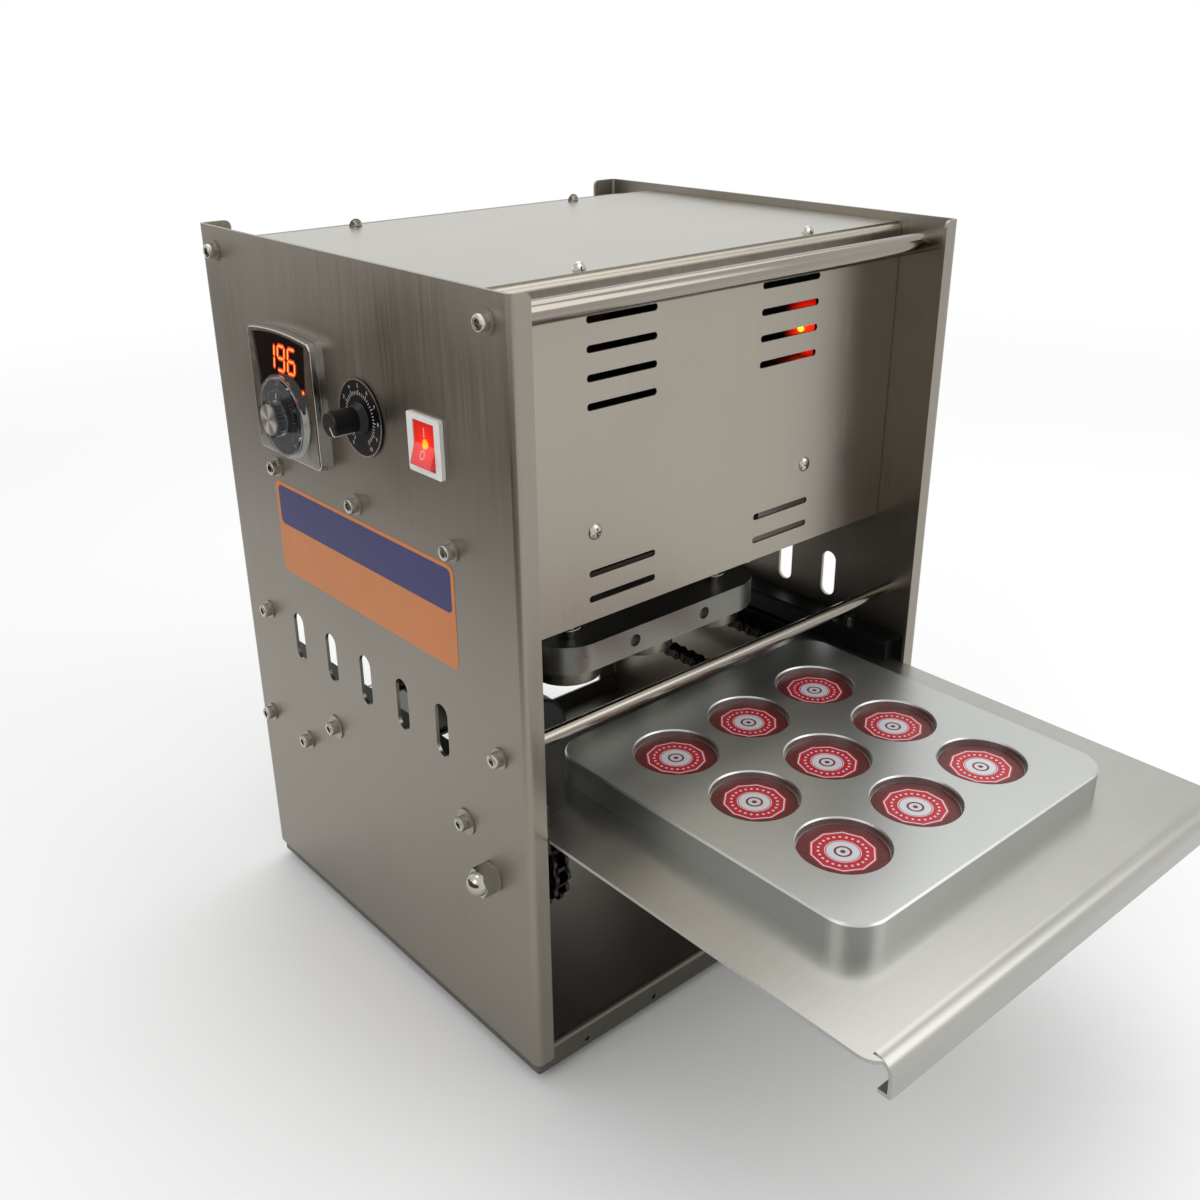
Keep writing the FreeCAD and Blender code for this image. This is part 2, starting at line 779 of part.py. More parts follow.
def tray_sheet():
    """A flat sheet whose front edge is bent down around a large radius and hemmed back."""
    flat = box(-tray_half, tray_half, tray_front + sheet, tray_rear, tray_bottom, tray_top)
    flat = round_edges(flat, 2, [(s * tray_half, tray_front + sheet) for s in (-1, 1)], tray_corner)
    flat = round_edges(flat, 2, [(s * tray_half, tray_rear) for s in (-1, 1)], sheet)
    flat = flat.cut(box(-lip_half - lip_relief, lip_half + lip_relief, tray_front - cut_over, flat_front,
                        tray_bottom - cut_over, tray_top + cut_over))
    low = tray_top - lip_height
    inner = lip_radius - sheet
    centre = V(0, flat_front, tray_top - lip_radius)

    def on_arc(radius, degrees):
        a = math.radians(degrees)
        return centre + V(0, -radius * math.sin(a), radius * math.cos(a))

    path = [
        Part.Arc(on_arc(lip_radius, 0), on_arc(lip_radius, 45), on_arc(lip_radius, 90)).toShape(),
        Part.makeLine(on_arc(lip_radius, 90), V(0, tray_front, low)),
        Part.makeLine(V(0, tray_front, low), V(0, tray_front + lip_hem, low)),
        Part.makeLine(V(0, tray_front + lip_hem, low), V(0, tray_front + lip_hem, low + sheet)),
        Part.makeLine(V(0, tray_front + lip_hem, low + sheet), V(0, tray_front + sheet, low + sheet)),
        Part.makeLine(V(0, tray_front + sheet, low + sheet), on_arc(inner, 90)),
        Part.Arc(on_arc(inner, 90), on_arc(inner, 45), on_arc(inner, 0)).toShape(),
        Part.makeLine(on_arc(inner, 0), on_arc(lip_radius, 0)),
    ]
    lip = Part.Face(Part.Wire(path)).extrude(V(2 * lip_half, 0, 0))
    lip.translate(V(-lip_half, 0, 0))
    return flat.fuse(lip).removeSplitter()


tray = tray_sheet()
for x, y in cup_places(mould_y):
    tray = tray.cut(rod_z(tray_bottom - cut_over, tray_top + cut_over, x, y, cup_top_radius + cup_gap))
dowels = [(side * dowel_offset, mould_y + side * dowel_offset) for side in (-1, 1)]
for x, y in dowels:
    tray = tray.cut(rod_z(tray_bottom - cut_over, tray_top + cut_over, x, y, dowel_radius))
save("tray", tray)

mould_half = mould_size / 2
mould = rounded_block(-mould_half, mould_half, mould_y - mould_half, mould_y + mould_half,
                      tray_top, mould_top, mould_corner, 2)
top_rim = [e for e in mould.Edges if abs(e.CenterOfMass.z - mould_top) < running_gap]
mould = mould.makeChamfer(mould_edge, top_rim)
for x, y in cup_places(mould_y):
    mould = mould.cut(rod_z(lid_top - cup_rim_height - lid_thickness, mould_top + cut_over, x, y,
                            well_radius))
    mould = mould.cut(rod_z(tray_top - cut_over, mould_top, x, y, cup_top_radius + cup_gap))
    mould = mould.cut(Part.makeCone(well_radius, well_radius + well_edge, well_edge,
                                    V(x, y, mould_top - well_edge)))
dowel_hole_top = tray_top + mould_thickness / 2
for x, y in dowels:
    mould = mould.cut(rod_z(tray_top - cut_over, dowel_hole_top, x, y, dowel_radius))
save("mould_plate", mould)
save("mould_dowels", *[rod_z(tray_bottom, dowel_hole_top - dowel_end_gap, x, y, dowel_radius - running_gap)
                       for x, y in dowels])


def cup(x, y):
    """A tapered thin walled cup that hangs in its well by its rim."""
    rim_top = lid_top - lid_thickness
    base = rim_top - cup_height
    outline = [
        (0, base), (cup_base_radius, base), (cup_top_radius, rim_top - cup_rim_height),
        (cup_rim_radius, rim_top - cup_rim_height), (cup_rim_radius, rim_top),
        (cup_top_radius - cup_wall, rim_top), (cup_base_radius - cup_wall, base + cup_wall),
        (0, base + cup_wall),
    ]
    points = [V(r, 0, z) for r, z in outline]
    face = Part.Face(Part.makePolygon(points + [points[0]]))
    shape = face.revolve(V(0, 0, 0), V(0, 0, 1), 360)
    shape.translate(V(x, y, 0))
    return shape


save("cups", *[cup(x, y) for x, y in cup_places(mould_y)])
save("foil_lids", *[rod_z(lid_top - lid_thickness, lid_top, x, y, lid_radius)
                    for x, y in cup_places(mould_y)])


# Guide rails


stud_x = plate_inner - rail_width / 2
stud_places = [(stud_x, stud_front_y), (stud_x, stud_front_y + stud_spacing)]


def right_rail():
    """A rail bar with a groove for the tray's edge."""
    rail_rear = cabinet_depth - sheet - bend_inside - part_gap
    rail = box(rail_inner, plate_inner, rail_front, rail_rear, rail_bottom, rail_top)
    groove = box(rail_inner - cut_over, rail_inner + rail_grip, rail_front - cut_over, cabinet_depth,
                 tray_bottom - rail_clearance, tray_top + rail_clearance)
    rail = rail.cut(groove)
    for y in rail_screw_y:
        rail = rail.cut(tapped_hole(y, rail_screw_z))
    for x, y in stud_places:
        rail = rail.cut(rod_z(rail_top - stud_depth - spindle_end_gap, rail_top + cut_over, x, y,
                              pan_screw_radius + screw_gap))
    top_edges = edges_near(rail, 0, [(rail_front, rail_top)]) + edges_near(rail, 1, [(rail_inner, rail_top)])
    return rail.makeChamfer(rail_chamfer, top_edges)


def rail_stud(x, y):
    """A short screw that stands in the rail's top."""
    shank = rod_z(rail_top - stud_depth, rail_top, x, y, pan_screw_radius)
    return shank.fuse(rod_z(rail_top, rail_top + stud_head_height, x, y, stud_head_radius))


rail = right_rail()
save("right_guide_rail", rail)
save("left_guide_rail", mirrored(rail))
studs = [rail_stud(x, y) for x, y in stud_places]
save("rail_top_screws", *studs, *[mirrored(stud) for stud in studs])


# Chain drive


def turned(point, y, angle):
    """A point carried round the sprocket's axis at y."""
    offset = point - V(0, y, axle_z)
    return V(0, y + offset.y * math.cos(angle) + offset.z * math.sin(angle),
             axle_z - offset.y * math.sin(angle) + offset.z * math.cos(angle))


def sprocket(y):
    """A toothed disc with a hub on its outer side, drawn at the right.

    Each gap is a round seat for a chain roller on the pitch circle, and straight flanks lead from
    it to the tooth tips.
    """
    step = 2 * math.pi / sprocket_teeth
    seat = chain_roller_radius + tooth_seat_gap
    seat_half = math.pi / 3
    tip = pitch_radius + tooth_reach
    tip_half = tooth_tip_width / 2 / tip

    def polar(radius, angle):
        return V(0, y + radius * math.sin(angle), axle_z + radius * math.cos(angle))

    edges = []
    for i in range(sprocket_teeth):
        gap = i * step
        outward = V(0, math.sin(gap), math.cos(gap))
        along = V(0, math.cos(gap), -math.sin(gap))
        middle = polar(pitch_radius, gap)
        start = middle - outward * seat * math.cos(seat_half) - along * seat * math.sin(seat_half)
        end = middle - outward * seat * math.cos(seat_half) + along * seat * math.sin(seat_half)
        tooth = gap + step / 2
        tip_start = polar(tip, tooth - tip_half)
        tip_end = polar(tip, tooth + tip_half)
        edges.append(Part.Arc(start, middle - outward * seat, end).toShape())
        edges.append(Part.makeLine(end, tip_start))
        edges.append(Part.makeLine(tip_start, tip_end))
        edges.append(Part.makeLine(tip_end, turned(start, y, step)))
    disc = Part.Face(Part.Wire(edges)).extrude(V(tooth_width, 0, 0))
    disc.translate(V(chain_x - tooth_width / 2, 0, 0))
    hub_out = plate_inner - block_thickness - part_gap
    return disc.fuse(rod_x(chain_x, hub_out, y, axle_z, hub_radius))


def link_plate(start, end, x0):
    """One side plate between two pins: a round eye at each pin, joined by a waist that is hollow."""
    along = (end - start).normalize()
    across = V(0, -along.z, along.y)
    middle = (start + end) * 0.5
    half, waist = chain_plate_half, chain_waist_half

    def at(base, forward, side):
        return base + along * forward + across * side + V(x0, 0, 0)

    lean = math.pi / 3
    reach, rise = half * math.cos(lean), half * math.sin(lean)
    edges = [
        Part.Arc(at(start, reach, rise), at(start, -half, 0), at(start, reach, -rise)).toShape(),
        Part.Arc(at(start, reach, -rise), at(middle, 0, -waist), at(end, -reach, -rise)).toShape(),
        Part.Arc(at(end, -reach, -rise), at(end, half, 0), at(end, -reach, rise)).toShape(),
        Part.Arc(at(end, -reach, rise), at(middle, 0, waist), at(start, reach, rise)).toShape(),
    ]
    return Part.Face(Part.Wire(edges)).extrude(V(chain_plate_thickness, 0, 0))


def chain_pins():
    """Pin places round the loop: along the top, round the rear sprocket, back, and round the front one."""
    step = 2 * math.pi / sprocket_teeth
    bend = [V(0, pitch_radius * math.sin(i * step), pitch_radius * math.cos(i * step))
            for i in range(sprocket_teeth // 2)]
    front, rear = V(0, axle_y, axle_z), V(0, shaft_y, axle_z)
    places = [front + bend[0] + V(0, i * chain_pitch, 0) for i in range(chain_span_pitches)]
    places += [rear + arm for arm in bend]
    places += [rear - bend[0] - V(0, i * chain_pitch, 0) for i in range(chain_span_pitches)]
    places += [front - arm for arm in bend]
    return places


def chain_stretch(pins, first, count):
    """A run of links: inner and outer plates by turns, and rollers wherever they clear the turning teeth."""
    inner = chain_inner_half
    outer = chain_inner_half + chain_plate_thickness
    reach = pitch_radius + tooth_reach + chain_roller_radius + part_gap
    pieces = []
    for i in range(first, first + count):
        start, end = pins[i], pins[(i + 1) % len(pins)]
        offset = inner if i % 2 else outer
        for x0 in (chain_x + offset, chain_x - offset - chain_plate_thickness):
            pieces.append(link_plate(start, end, x0))
        if all(math.hypot(start.y - y, start.z - axle_z) > reach for y in (axle_y, shaft_y)):
            pieces.append(rod_x(chain_x - inner, chain_x + inner, start.y, start.z, chain_roller_radius))
    return pieces[0].multiFuse(pieces[1:]).Solids


def right_chain():
    """Top run, rear bend, bottom run and front bend of the loop."""
    pins = chain_pins()
    bend = sprocket_teeth // 2
    solids = []
    first = 0
    for count in (chain_span_pitches, bend, chain_span_pitches, bend):
        solids += chain_stretch(pins, first, count)
        first += count
    return Part.makeCompound(solids)


def bored(shape, y, radius):
    return shape.cut(rod_x(-cabinet_width, cabinet_width, y, axle_z, radius + running_gap))


right_sprocket = bored(sprocket(axle_y), axle_y, front_axle_radius)
save("right_front_sprocket", right_sprocket)
save("left_front_sprocket", mirrored(right_sprocket))
rear_sprocket = sprocket(shaft_y).cut(rod_x(-half_width, half_width, shaft_y, axle_z, rear_shaft_radius))
save("rear_sprockets", rear_sprocket, mirrored(rear_sprocket))
save("rear_shaft", rod_x(-plate_inner + part_gap, plate_inner - part_gap, shaft_y, axle_z, rear_shaft_radius))
loop = right_chain()
save("right_chain", *loop.Solids)
save("left_chain", *mirrored(loop).Solids)


def right_axle():
    """A fixed axle through the plate, with a head that keeps the sprocket on."""
    head_x = chain_x - chain_inner_half - 2 * chain_plate_thickness - part_gap
    shank = rod_x(head_x, half_width + washer_thickness + nut_height, axle_y, axle_z, front_axle_radius)
    head = rod_x(head_x - axle_head_length, head_x, axle_y, axle_z, axle_collar_radius)
    return shank.fuse(head)


def axle_collar():
    """The spacer between plate and sprocket."""
    ring = rod_x(plate_inner - block_thickness, plate_inner, axle_y, axle_z, axle_collar_radius)
    return bored(ring, axle_y, front_axle_radius)


def acorn_nut():
    """A domed hexagon nut with its washer's width of seat."""
    seat = half_width + washer_thickness
    corner = nut_half_flat / math.cos(math.pi / 6)
    ring = [(seat, axle_y + corner * math.cos(k * math.pi / 3), axle_z + corner * math.sin(k * math.pi / 3))
            for k in range(6)]
    hexagon = extrude(ring, (nut_height, 0, 0))
    radius = (nut_dome_radius ** 2 + nut_dome_height ** 2) / (2 * nut_dome_height)
    top = seat + nut_height + nut_dome_height
    ball = Part.makeSphere(radius, V(top - radius, axle_y, axle_z))
    dome = ball.common(rod_x(seat + nut_height, top + cut_over, axle_y, axle_z, nut_dome_radius))
    return bored(hexagon, axle_y, front_axle_radius).fuse(dome)


save("front_axles", right_axle(), mirrored(right_axle()))
save("axle_collars", axle_collar(), mirrored(axle_collar()))
save("acorn_nuts", acorn_nut(), mirrored(acorn_nut()))


def bearing_block():
    """A block screwed to the side plate, bored for the rear shaft's bearing."""
    inner = plate_inner - block_thickness
    block = rounded_block(inner, plate_inner, shaft_y - block_half_length, shaft_y + block_half_length,
                          axle_z - block_half_height, axle_z + block_half_height, block_corner, 0)
    block = block.cut(rod_x(inner - cut_over, plate_inner + cut_over, shaft_y, axle_z,
                            rear_shaft_radius + shaft_hole_gap))
    block = block.cut(rod_x(inner - cut_over, inner + bearing_width, shaft_y, axle_z, bearing_outer_radius))
    for y in block_screw_y:
        block = block.cut(tapped_hole(y, block_screw_z))
    return block


def shaft_bearing():
    start = plate_inner - block_thickness
    return bored(rod_x(start, start + bearing_width, shaft_y, axle_z, bearing_outer_radius),
                 shaft_y, rear_shaft_radius)


save("bearing_blocks", bearing_block(), mirrored(bearing_block()))
save("shaft_bearings", shaft_bearing(), mirrored(shaft_bearing()))


def chain_bracket():
    """An angle under the tray that reaches down beside the chain."""
    front = axle_y + bracket_setback
    back = axle_y + chain_pitch
    chain_top = axle_z + pitch_radius + chain_plate_half + part_gap
    outer = chain_x + chain_inner_half + 2 * chain_plate_thickness
    inner = chain_x - chain_inner_half - 2 * chain_plate_thickness - part_gap
    top = box(inner - bracket_thickness, outer, front, back, chain_top, tray_bottom)
    return top.fuse(box(inner - bracket_thickness, inner, front, back, chain_top - chain_pitch, tray_bottom))


save("chain_brackets", chain_bracket(), mirrored(chain_bracket()))


# Drive motor on its pedestal

gear_x0 = gearbox_x - gearbox_width / 2
gear_x1 = gearbox_x + gearbox_width / 2
gear_z0 = axle_z - gearbox_below
gear_z1 = axle_z + gearbox_above
gearbox = rounded_block(gear_x0, gear_x1, shaft_y - gearbox_half, shaft_y + gearbox_half, gear_z0, gear_z1,
                        gearbox_corner, 0)
gearbox = bored(gearbox, shaft_y, rear_shaft_radius)
save("gearbox", gearbox)
motor_z = axle_z - motor_below_shaft
motor_end = shaft_y - gearbox_half - motor_length
motor = rod_y(motor_end, shaft_y - gearbox_half, gearbox_x, motor_z, motor_radius)
end_rim = [e for e in motor.Edges if abs(e.CenterOfMass.y - motor_end) < running_gap]
save("drive_motor", motor.makeFillet(motor_edge, end_rim))
pedestal = box(gear_x0, gear_x1, shaft_y - gearbox_half, shaft_y + gearbox_half, pan_top, gear_z0)
pedestal = pedestal.cut(box(gear_x0 + sheet, gear_x1 - sheet, shaft_y - gearbox_half - cut_over,
                            shaft_y + gearbox_half + cut_over, pan_top - cut_over, gear_z0 - sheet))
save("motor_pedestal", pedestal)


# Base pan and feet

pan_front = sheet + part_gap
pan_back = cabinet_depth - sheet - part_gap
pan_half = plate_inner - part_gap
pan_low = pan_top - pan_lip
pan = box(-pan_half, pan_half, pan_front, pan_back, pan_low, pan_top)
pan = round_edges(pan, 0, [(pan_front, pan_top)], bend_inside + panel_sheet)
hollow = box(-pan_half + panel_sheet, pan_half - panel_sheet, pan_front + panel_sheet, pan_back + cut_over,
             pan_low - cut_over, pan_top - panel_sheet)
hollow = round_edges(hollow, 0, [(pan_front + panel_sheet, pan_top - panel_sheet)], bend_inside)
pan = pan.cut(hollow)
lip_top = pan_top + pan_rear_rise
pan = pan.fuse(box(-pan_half, pan_half, pan_back - panel_sheet, pan_back, pan_top - panel_sheet, lip_top))
pan = pan.common(rounded_block(-pan_half, pan_half, pan_front, pan_back, pan_low, lip_top, bend_inside, 2))
for x in (-pan_outer_hole_x, -pan_inner_hole_x, pan_inner_hole_x, pan_outer_hole_x):
    pan = pan.cut(rod_y(pan_front - cut_over, pan_front + panel_sheet + cut_over, x, pan_low + pan_hole_rise,
                        pan_hole_radius))
foot_places = [(sx * (half_width - foot_inset_x), y) for sx in (-1, 1)
               for y in (foot_inset_y, cabinet_depth - foot_inset_y)]
for x, y in foot_places:
    pan = pan.cut(rod_z(pan_low, pan_top + cut_over, x, y, screw_radius + screw_gap))
save("base_pan", pan)


def rubber_foot(x, y):
    """A tapered foot whose neck is pulled through the pan and ends in a button."""
    foot = Part.makeCone(foot_radius - foot_taper, foot_radius, pan_top - panel_sheet, V(x, y, 0))
    neck = rod_z(pan_top - panel_sheet, pan_top, x, y, screw_radius)
    return foot.fuse(neck).fuse(rod_z(pan_top, pan_top + foot_button_height, x, y, screw_head_radius))


save("rubber_feet", *[rubber_foot(x, y) for x, y in foot_places])


# Controls on the left plate; u is the distance out from the plate's face


def out(u):
    """The x of a point u outside the left plate."""
    return -half_width - u


def arched_outline(u, half_top, half_low, top, low, arch):
    """A closed outline with straight sides and a top edge that rises to an arch, as a wire at distance u."""
    left_low = V(out(u), controller_y - half_low, low)
    right_low = V(out(u), controller_y + half_low, low)
    left_top = V(out(u), controller_y - half_top, top - arch)
    right_top = V(out(u), controller_y + half_top, top - arch)
    return Part.Wire([
        Part.makeLine(left_low, right_low), Part.makeLine(right_low, right_top),
        Part.Arc(right_top, V(out(u), controller_y, top), left_top).toShape(),
        Part.makeLine(left_top, left_low),
    ])


def bezel_outline(u, grow):
    """The bezel's outline, larger all round by grow."""
    half = controller_width / 2 + grow
    rise = controller_face_height / 2 + grow
    return arched_outline(u, half, half, controller_z + rise, controller_z - rise, controller_arch)


def tapered_bezel():
    """A frame that narrows towards its face, with an arched top and the seam of its clipped on front."""
    body = Part.makeLoft([bezel_outline(0, controller_taper / 2), bezel_outline(controller_proud, 0)], True)
    corners = [e for e in body.Edges if abs(e.Vertexes[0].X - e.Vertexes[-1].X) > controller_proud / 2]
    body = body.makeFillet(controller_corner, corners)
    rim = [e for e in body.Edges if abs(e.CenterOfMass.x - out(controller_proud)) < running_gap]
    body = body.makeFillet(controller_edge, rim)
    across = V(-controller_seam_width, 0, 0)
    seam = Part.Face(bezel_outline(controller_seam, controller_taper)).extrude(across)
    core = Part.Face(bezel_outline(controller_seam, 0)).extrude(across)
    corners = [e for e in core.Edges if abs(e.Vertexes[0].X - e.Vertexes[-1].X) > controller_seam_width / 2]
    return body.cut(seam.cut(core.makeFillet(controller_corner, corners)))


def window_block(u, thickness):
    """The window is wide at its arched top and narrows beside the dial."""
    top = controller_z + controller_face_height / 2 - window_border
    low = controller_z - window_drop
    outline = arched_outline(u, window_top_half, window_low_half, top, low, controller_arch)
    return Part.Face(outline).extrude(V(thickness, 0, 0))


def control_hole(u0, u1, y, z, radius):
    """A cylinder between two distances out from the left plate."""
    return rod_x(out(u1), out(u0), y, z, radius)


housing = tapered_bezel()
body_half = controller_body / 2
housing = housing.fuse(box(out(0), out(-controller_body_depth), controller_y - body_half,
                           controller_y + body_half, controller_z - body_half, controller_z + body_half))
ring_floor = controller_proud - dial_ring_depth
ring_seat = control_hole(ring_floor, ring_out, controller_y, dial_z, dial_ring_radius)
housing = housing.cut(window_block(controller_proud + cut_over, cut_over + 2 * window_sheet)).cut(ring_seat)
spindle_end = controller_proud - dial_spindle_depth
housing = housing.cut(control_hole(spindle_end - spindle_end_gap, controller_proud, controller_y, dial_z,
                                   dial_spindle_radius + running_gap))
save("controller_housing", housing)
save("display_window", window_block(controller_proud - window_sunk, window_sheet).cut(ring_seat))

dial_ring = ring_seat.cut(control_hole(ring_floor - cut_over, ring_out + cut_over, controller_y, dial_z,
                                       dial_spindle_radius + running_gap))
save("dial_ring", dial_ring)

dial = control_hole(dial_back, dial_proud, controller_y, dial_z, dial_radius)
barrel = control_hole(dial_back, dial_tip - dial_cap_height, controller_y, dial_z, dial_barrel_radius)
flute_out = dial_barrel_radius + dial_flute_out
for i in range(dial_flutes):
    a = 2 * math.pi * i / dial_flutes
    barrel = barrel.cut(control_hole(dial_proud, dial_tip, controller_y + flute_out * math.cos(a),
                                     dial_z + flute_out * math.sin(a), dial_flute_radius))
spindle = control_hole(spindle_end, dial_back, controller_y, dial_z, dial_spindle_radius)
save("temperature_knob", dial.fuse(barrel).fuse(spindle))
save("temperature_knob_cap", control_hole(dial_tip - dial_cap_height, dial_tip, controller_y, dial_z,
                                          dial_cap_radius))

disc = control_hole(0, timer_disc_thickness, timer_y, timer_z, timer_disc_radius)
disc = disc.cut(control_hole(-cut_over, timer_disc_thickness + cut_over, timer_y, timer_z,
                             timer_spindle_radius + timer_hole_gap))
save("timer_dial", disc)
timer_back = -sheet - timer_stem_depth
timer_body = control_hole(-sheet - timer_body_depth, -sheet, timer_y, timer_z, timer_body_radius)
timer_body = timer_body.cut(control_hole(timer_back - spindle_end_gap, 0, timer_y, timer_z,
                                         timer_spindle_radius + running_gap))
save("timer_body", timer_body)
knob_start = timer_disc_thickness + part_gap
knob = control_hole(knob_start, timer_proud, timer_y, timer_z, timer_knob_radius)
tip_rim = [e for e in knob.Edges if abs(e.CenterOfMass.x - out(timer_proud)) < running_gap]
knob = knob.makeChamfer(timer_knob_edge, tip_rim)
skirt = Part.makeCone(timer_knob_radius, timer_skirt_radius, timer_skirt_height,
                      V(out(knob_start + timer_skirt_height), timer_y, timer_z), V(1, 0, 0))
stem = control_hole(timer_back, knob_start, timer_y, timer_z, timer_spindle_radius)
save("timer_knob", knob.fuse(skirt).fuse(stem))


def switch_housing():
    """A snap in frame around the rocker's well, with a pivot boss at each side."""
    frame = rounded_block(out(switch_bezel), out(0), switch_y - switch_width / 2, switch_y + switch_width / 2,
                          switch_z - switch_tall / 2, switch_z + switch_tall / 2, switch_corner, 0)
    body = box(out(0), out(-switch_body_depth),
               switch_y - switch_body_width / 2, switch_y + switch_body_width / 2,
               switch_z - switch_body_tall / 2, switch_z + switch_body_tall / 2)
    well = box(out(switch_bezel + cut_over), out(-2 * rocker_depth), switch_y - rocker_width / 2 - part_gap,
               switch_y + rocker_width / 2 + part_gap, switch_z - rocker_tall / 2 - part_gap,
               switch_z + rocker_tall / 2 + part_gap)
    return frame.fuse(body).cut(well)


def rocker():
    """A shallow vee seen from the side, shown with its top half pressed in, on a cross pin."""
    half = rocker_tall / 2 - rocker_end_gap
    middle = switch_bezel - rocker_foot
    rise = half * math.tan(math.radians(rocker_angle))
    profile = [(middle, 0), (middle + rise, half), (-rocker_depth / 2, half - rocker_heel),
               (-rocker_depth / 2, rocker_heel - half), (middle + rise, -half)]
    points = [(out(u), switch_y - rocker_width / 2, switch_z + z) for u, z in profile]
    paddle = extrude(points, (0, rocker_width, 0))
    pin = rod_y(switch_y - rocker_width / 2 - part_gap, switch_y + rocker_width / 2 + part_gap,
                out(-rocker_depth / 4), switch_z, rocker_pivot_radius)
    paddle = paddle.fuse(pin)
    paddle.rotate(V(out(-rocker_depth / 4), switch_y, switch_z), V(0, 1, 0), rocker_swing / 2)
    return paddle


save("switch_housing", switch_housing())
save("switch_rocker", rocker())


# Electrics

supply_top = bridge_top + supply_height
supply = rounded_block(supply_x, supply_x + supply_width, supply_y, supply_y + supply_length,
                       bridge_top, supply_top, supply_edge, 1)
save("power_supply", supply)
board_x = supply_x + supply_width / 2
save("control_board", box(board_x, board_x + board_thickness, supply_y, supply_y + board_length,
                          supply_top, panel_top - board_headroom))


def socket_pin(dx, dz):
    """A flat pin that stands on the floor of the inlet's socket."""
    x, z = inlet_x + dx, inlet_z + dz
    return box(x - socket_pin_width / 2, x + socket_pin_width / 2, rear_panel_y - socket_depth - cut_over,
               rear_panel_y - inlet_flange, z - socket_pin_tall / 2, z + socket_pin_tall / 2)


inlet = rounded_block(inlet_x - inlet_width / 2, inlet_x + inlet_width / 2, rear_panel_y,
                      rear_panel_y + inlet_flange, inlet_z - inlet_tall / 2, inlet_z + inlet_tall / 2,
                      inlet_corner, 1)
inlet = inlet.fuse(box(inlet_x - core_x + part_gap, inlet_x + core_x - part_gap, rear_panel_y - inlet_depth,
                       rear_panel_y + inlet_flange, inlet_z - core_z + part_gap, inlet_z + core_z - part_gap))
inlet = inlet.cut(box(inlet_x - socket_width / 2, inlet_x + socket_width / 2, rear_panel_y - socket_depth,
                      rear_panel_y + inlet_flange + cut_over, inlet_z - socket_tall / 2,
                      inlet_z + socket_tall / 2))
inlet = inlet.fuse(socket_pin(0, socket_pin_rise))
for side in (-1, 1):
    inlet = inlet.fuse(socket_pin(side * socket_pin_spacing, -socket_pin_drop))
save("power_inlet", inlet)
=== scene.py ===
# %% [markdown]
# # A desktop foil sealer
# The machine is a cabinet of brushed stainless sheet that is open at the front and back. A tray with
# an aluminium mould plate stands out of it, and a heated press head waits above the place where the
# mould goes. The solids come from the CAD model. This notebook gives them their finishes, and adds
# the small forms that a photograph shows: springs, screw recesses, display figures, dial marks and
# the printed lids.

# %% Tools and frame
import math

import bmesh
import bpy
import numpy as np
from mathutils import Matrix, Vector


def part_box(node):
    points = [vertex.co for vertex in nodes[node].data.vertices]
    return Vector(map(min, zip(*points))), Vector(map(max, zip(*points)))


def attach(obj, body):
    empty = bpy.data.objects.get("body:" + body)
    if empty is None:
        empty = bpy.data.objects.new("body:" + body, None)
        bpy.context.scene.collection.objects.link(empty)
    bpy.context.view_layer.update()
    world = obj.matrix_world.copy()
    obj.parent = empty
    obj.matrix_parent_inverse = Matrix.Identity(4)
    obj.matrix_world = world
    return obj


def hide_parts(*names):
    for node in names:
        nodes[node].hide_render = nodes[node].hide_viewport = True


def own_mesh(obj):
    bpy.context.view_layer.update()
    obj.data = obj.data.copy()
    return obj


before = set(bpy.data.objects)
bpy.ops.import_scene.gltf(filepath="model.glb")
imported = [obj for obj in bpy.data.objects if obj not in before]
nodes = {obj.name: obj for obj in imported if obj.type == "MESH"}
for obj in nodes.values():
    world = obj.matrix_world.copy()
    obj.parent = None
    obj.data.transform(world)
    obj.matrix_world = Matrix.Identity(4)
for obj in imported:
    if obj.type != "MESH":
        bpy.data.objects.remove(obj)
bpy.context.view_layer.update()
MM = 0.001
print(len(nodes), "solids loaded")

# %% [markdown]
# ## Where things are
# The cabinet's left plate gives three fixed planes: its outer face, its front face and the bench.
# A place on the controls is then easiest to say as a distance out from that plate, a distance back
# from the front, and a height above the bench, all in millimetres.

# %% Places on the left plate
plate_low, plate_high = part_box("left_side_plate")
left_face = plate_low.x
front_face = plate_low.y
middle_x = sum(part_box("front_panel")[k].x for k in (0, 1)) / 2


def at(out, back, up):
    """A place given in mm out from the left plate, back from the front and up from the bench, in metres."""
    return Vector((left_face - out * MM, front_face + back * MM, up * MM))


def middle(across, back, up):
    """A place given in mm across from the middle plane, back from the front and up, in metres."""
    return Vector((middle_x + across * MM, front_face + back * MM, up * MM))


print("left plate at x = %.4f m, front at y = %.4f m" % (left_face, front_face))

# %% [markdown]
# ## Colour
# Colours are written as the hex values that a picture editor shows. Blender's shaders work with
# linear light, so one function turns each channel: values under 0.04045 are divided by 12.92, and
# the others go through a power of 2.4.


# %% Hex to linear
def linear(code):
    """A hex colour as linear red, green, blue and alpha."""
    channels = np.array([int(code[i:i + 2], 16) for i in (1, 3, 5)]) / 255
    curve = np.where(channels <= 0.04045, channels / 12.92, ((channels + 0.055) / 1.055) ** 2.4)
    return (*curve.tolist(), 1.0)


print("the grey #808080 is %.3f in linear light" % linear("#808080")[0])

# %% [markdown]
# ## Nodes
# Every material is a small network. One function adds a node, sets its properties, and fills its
# sockets with either a number or another node's output.


# %% A node with its settings and links
def connect(node, sockets):
    """Gives each socket of a node a value, or a link where it is given another node's output."""
    for key, value in sockets.items():
        if isinstance(value, bpy.types.NodeSocket):
            node.id_data.links.new(value, node.inputs[key])
        else:
            node.inputs[key].default_value = value


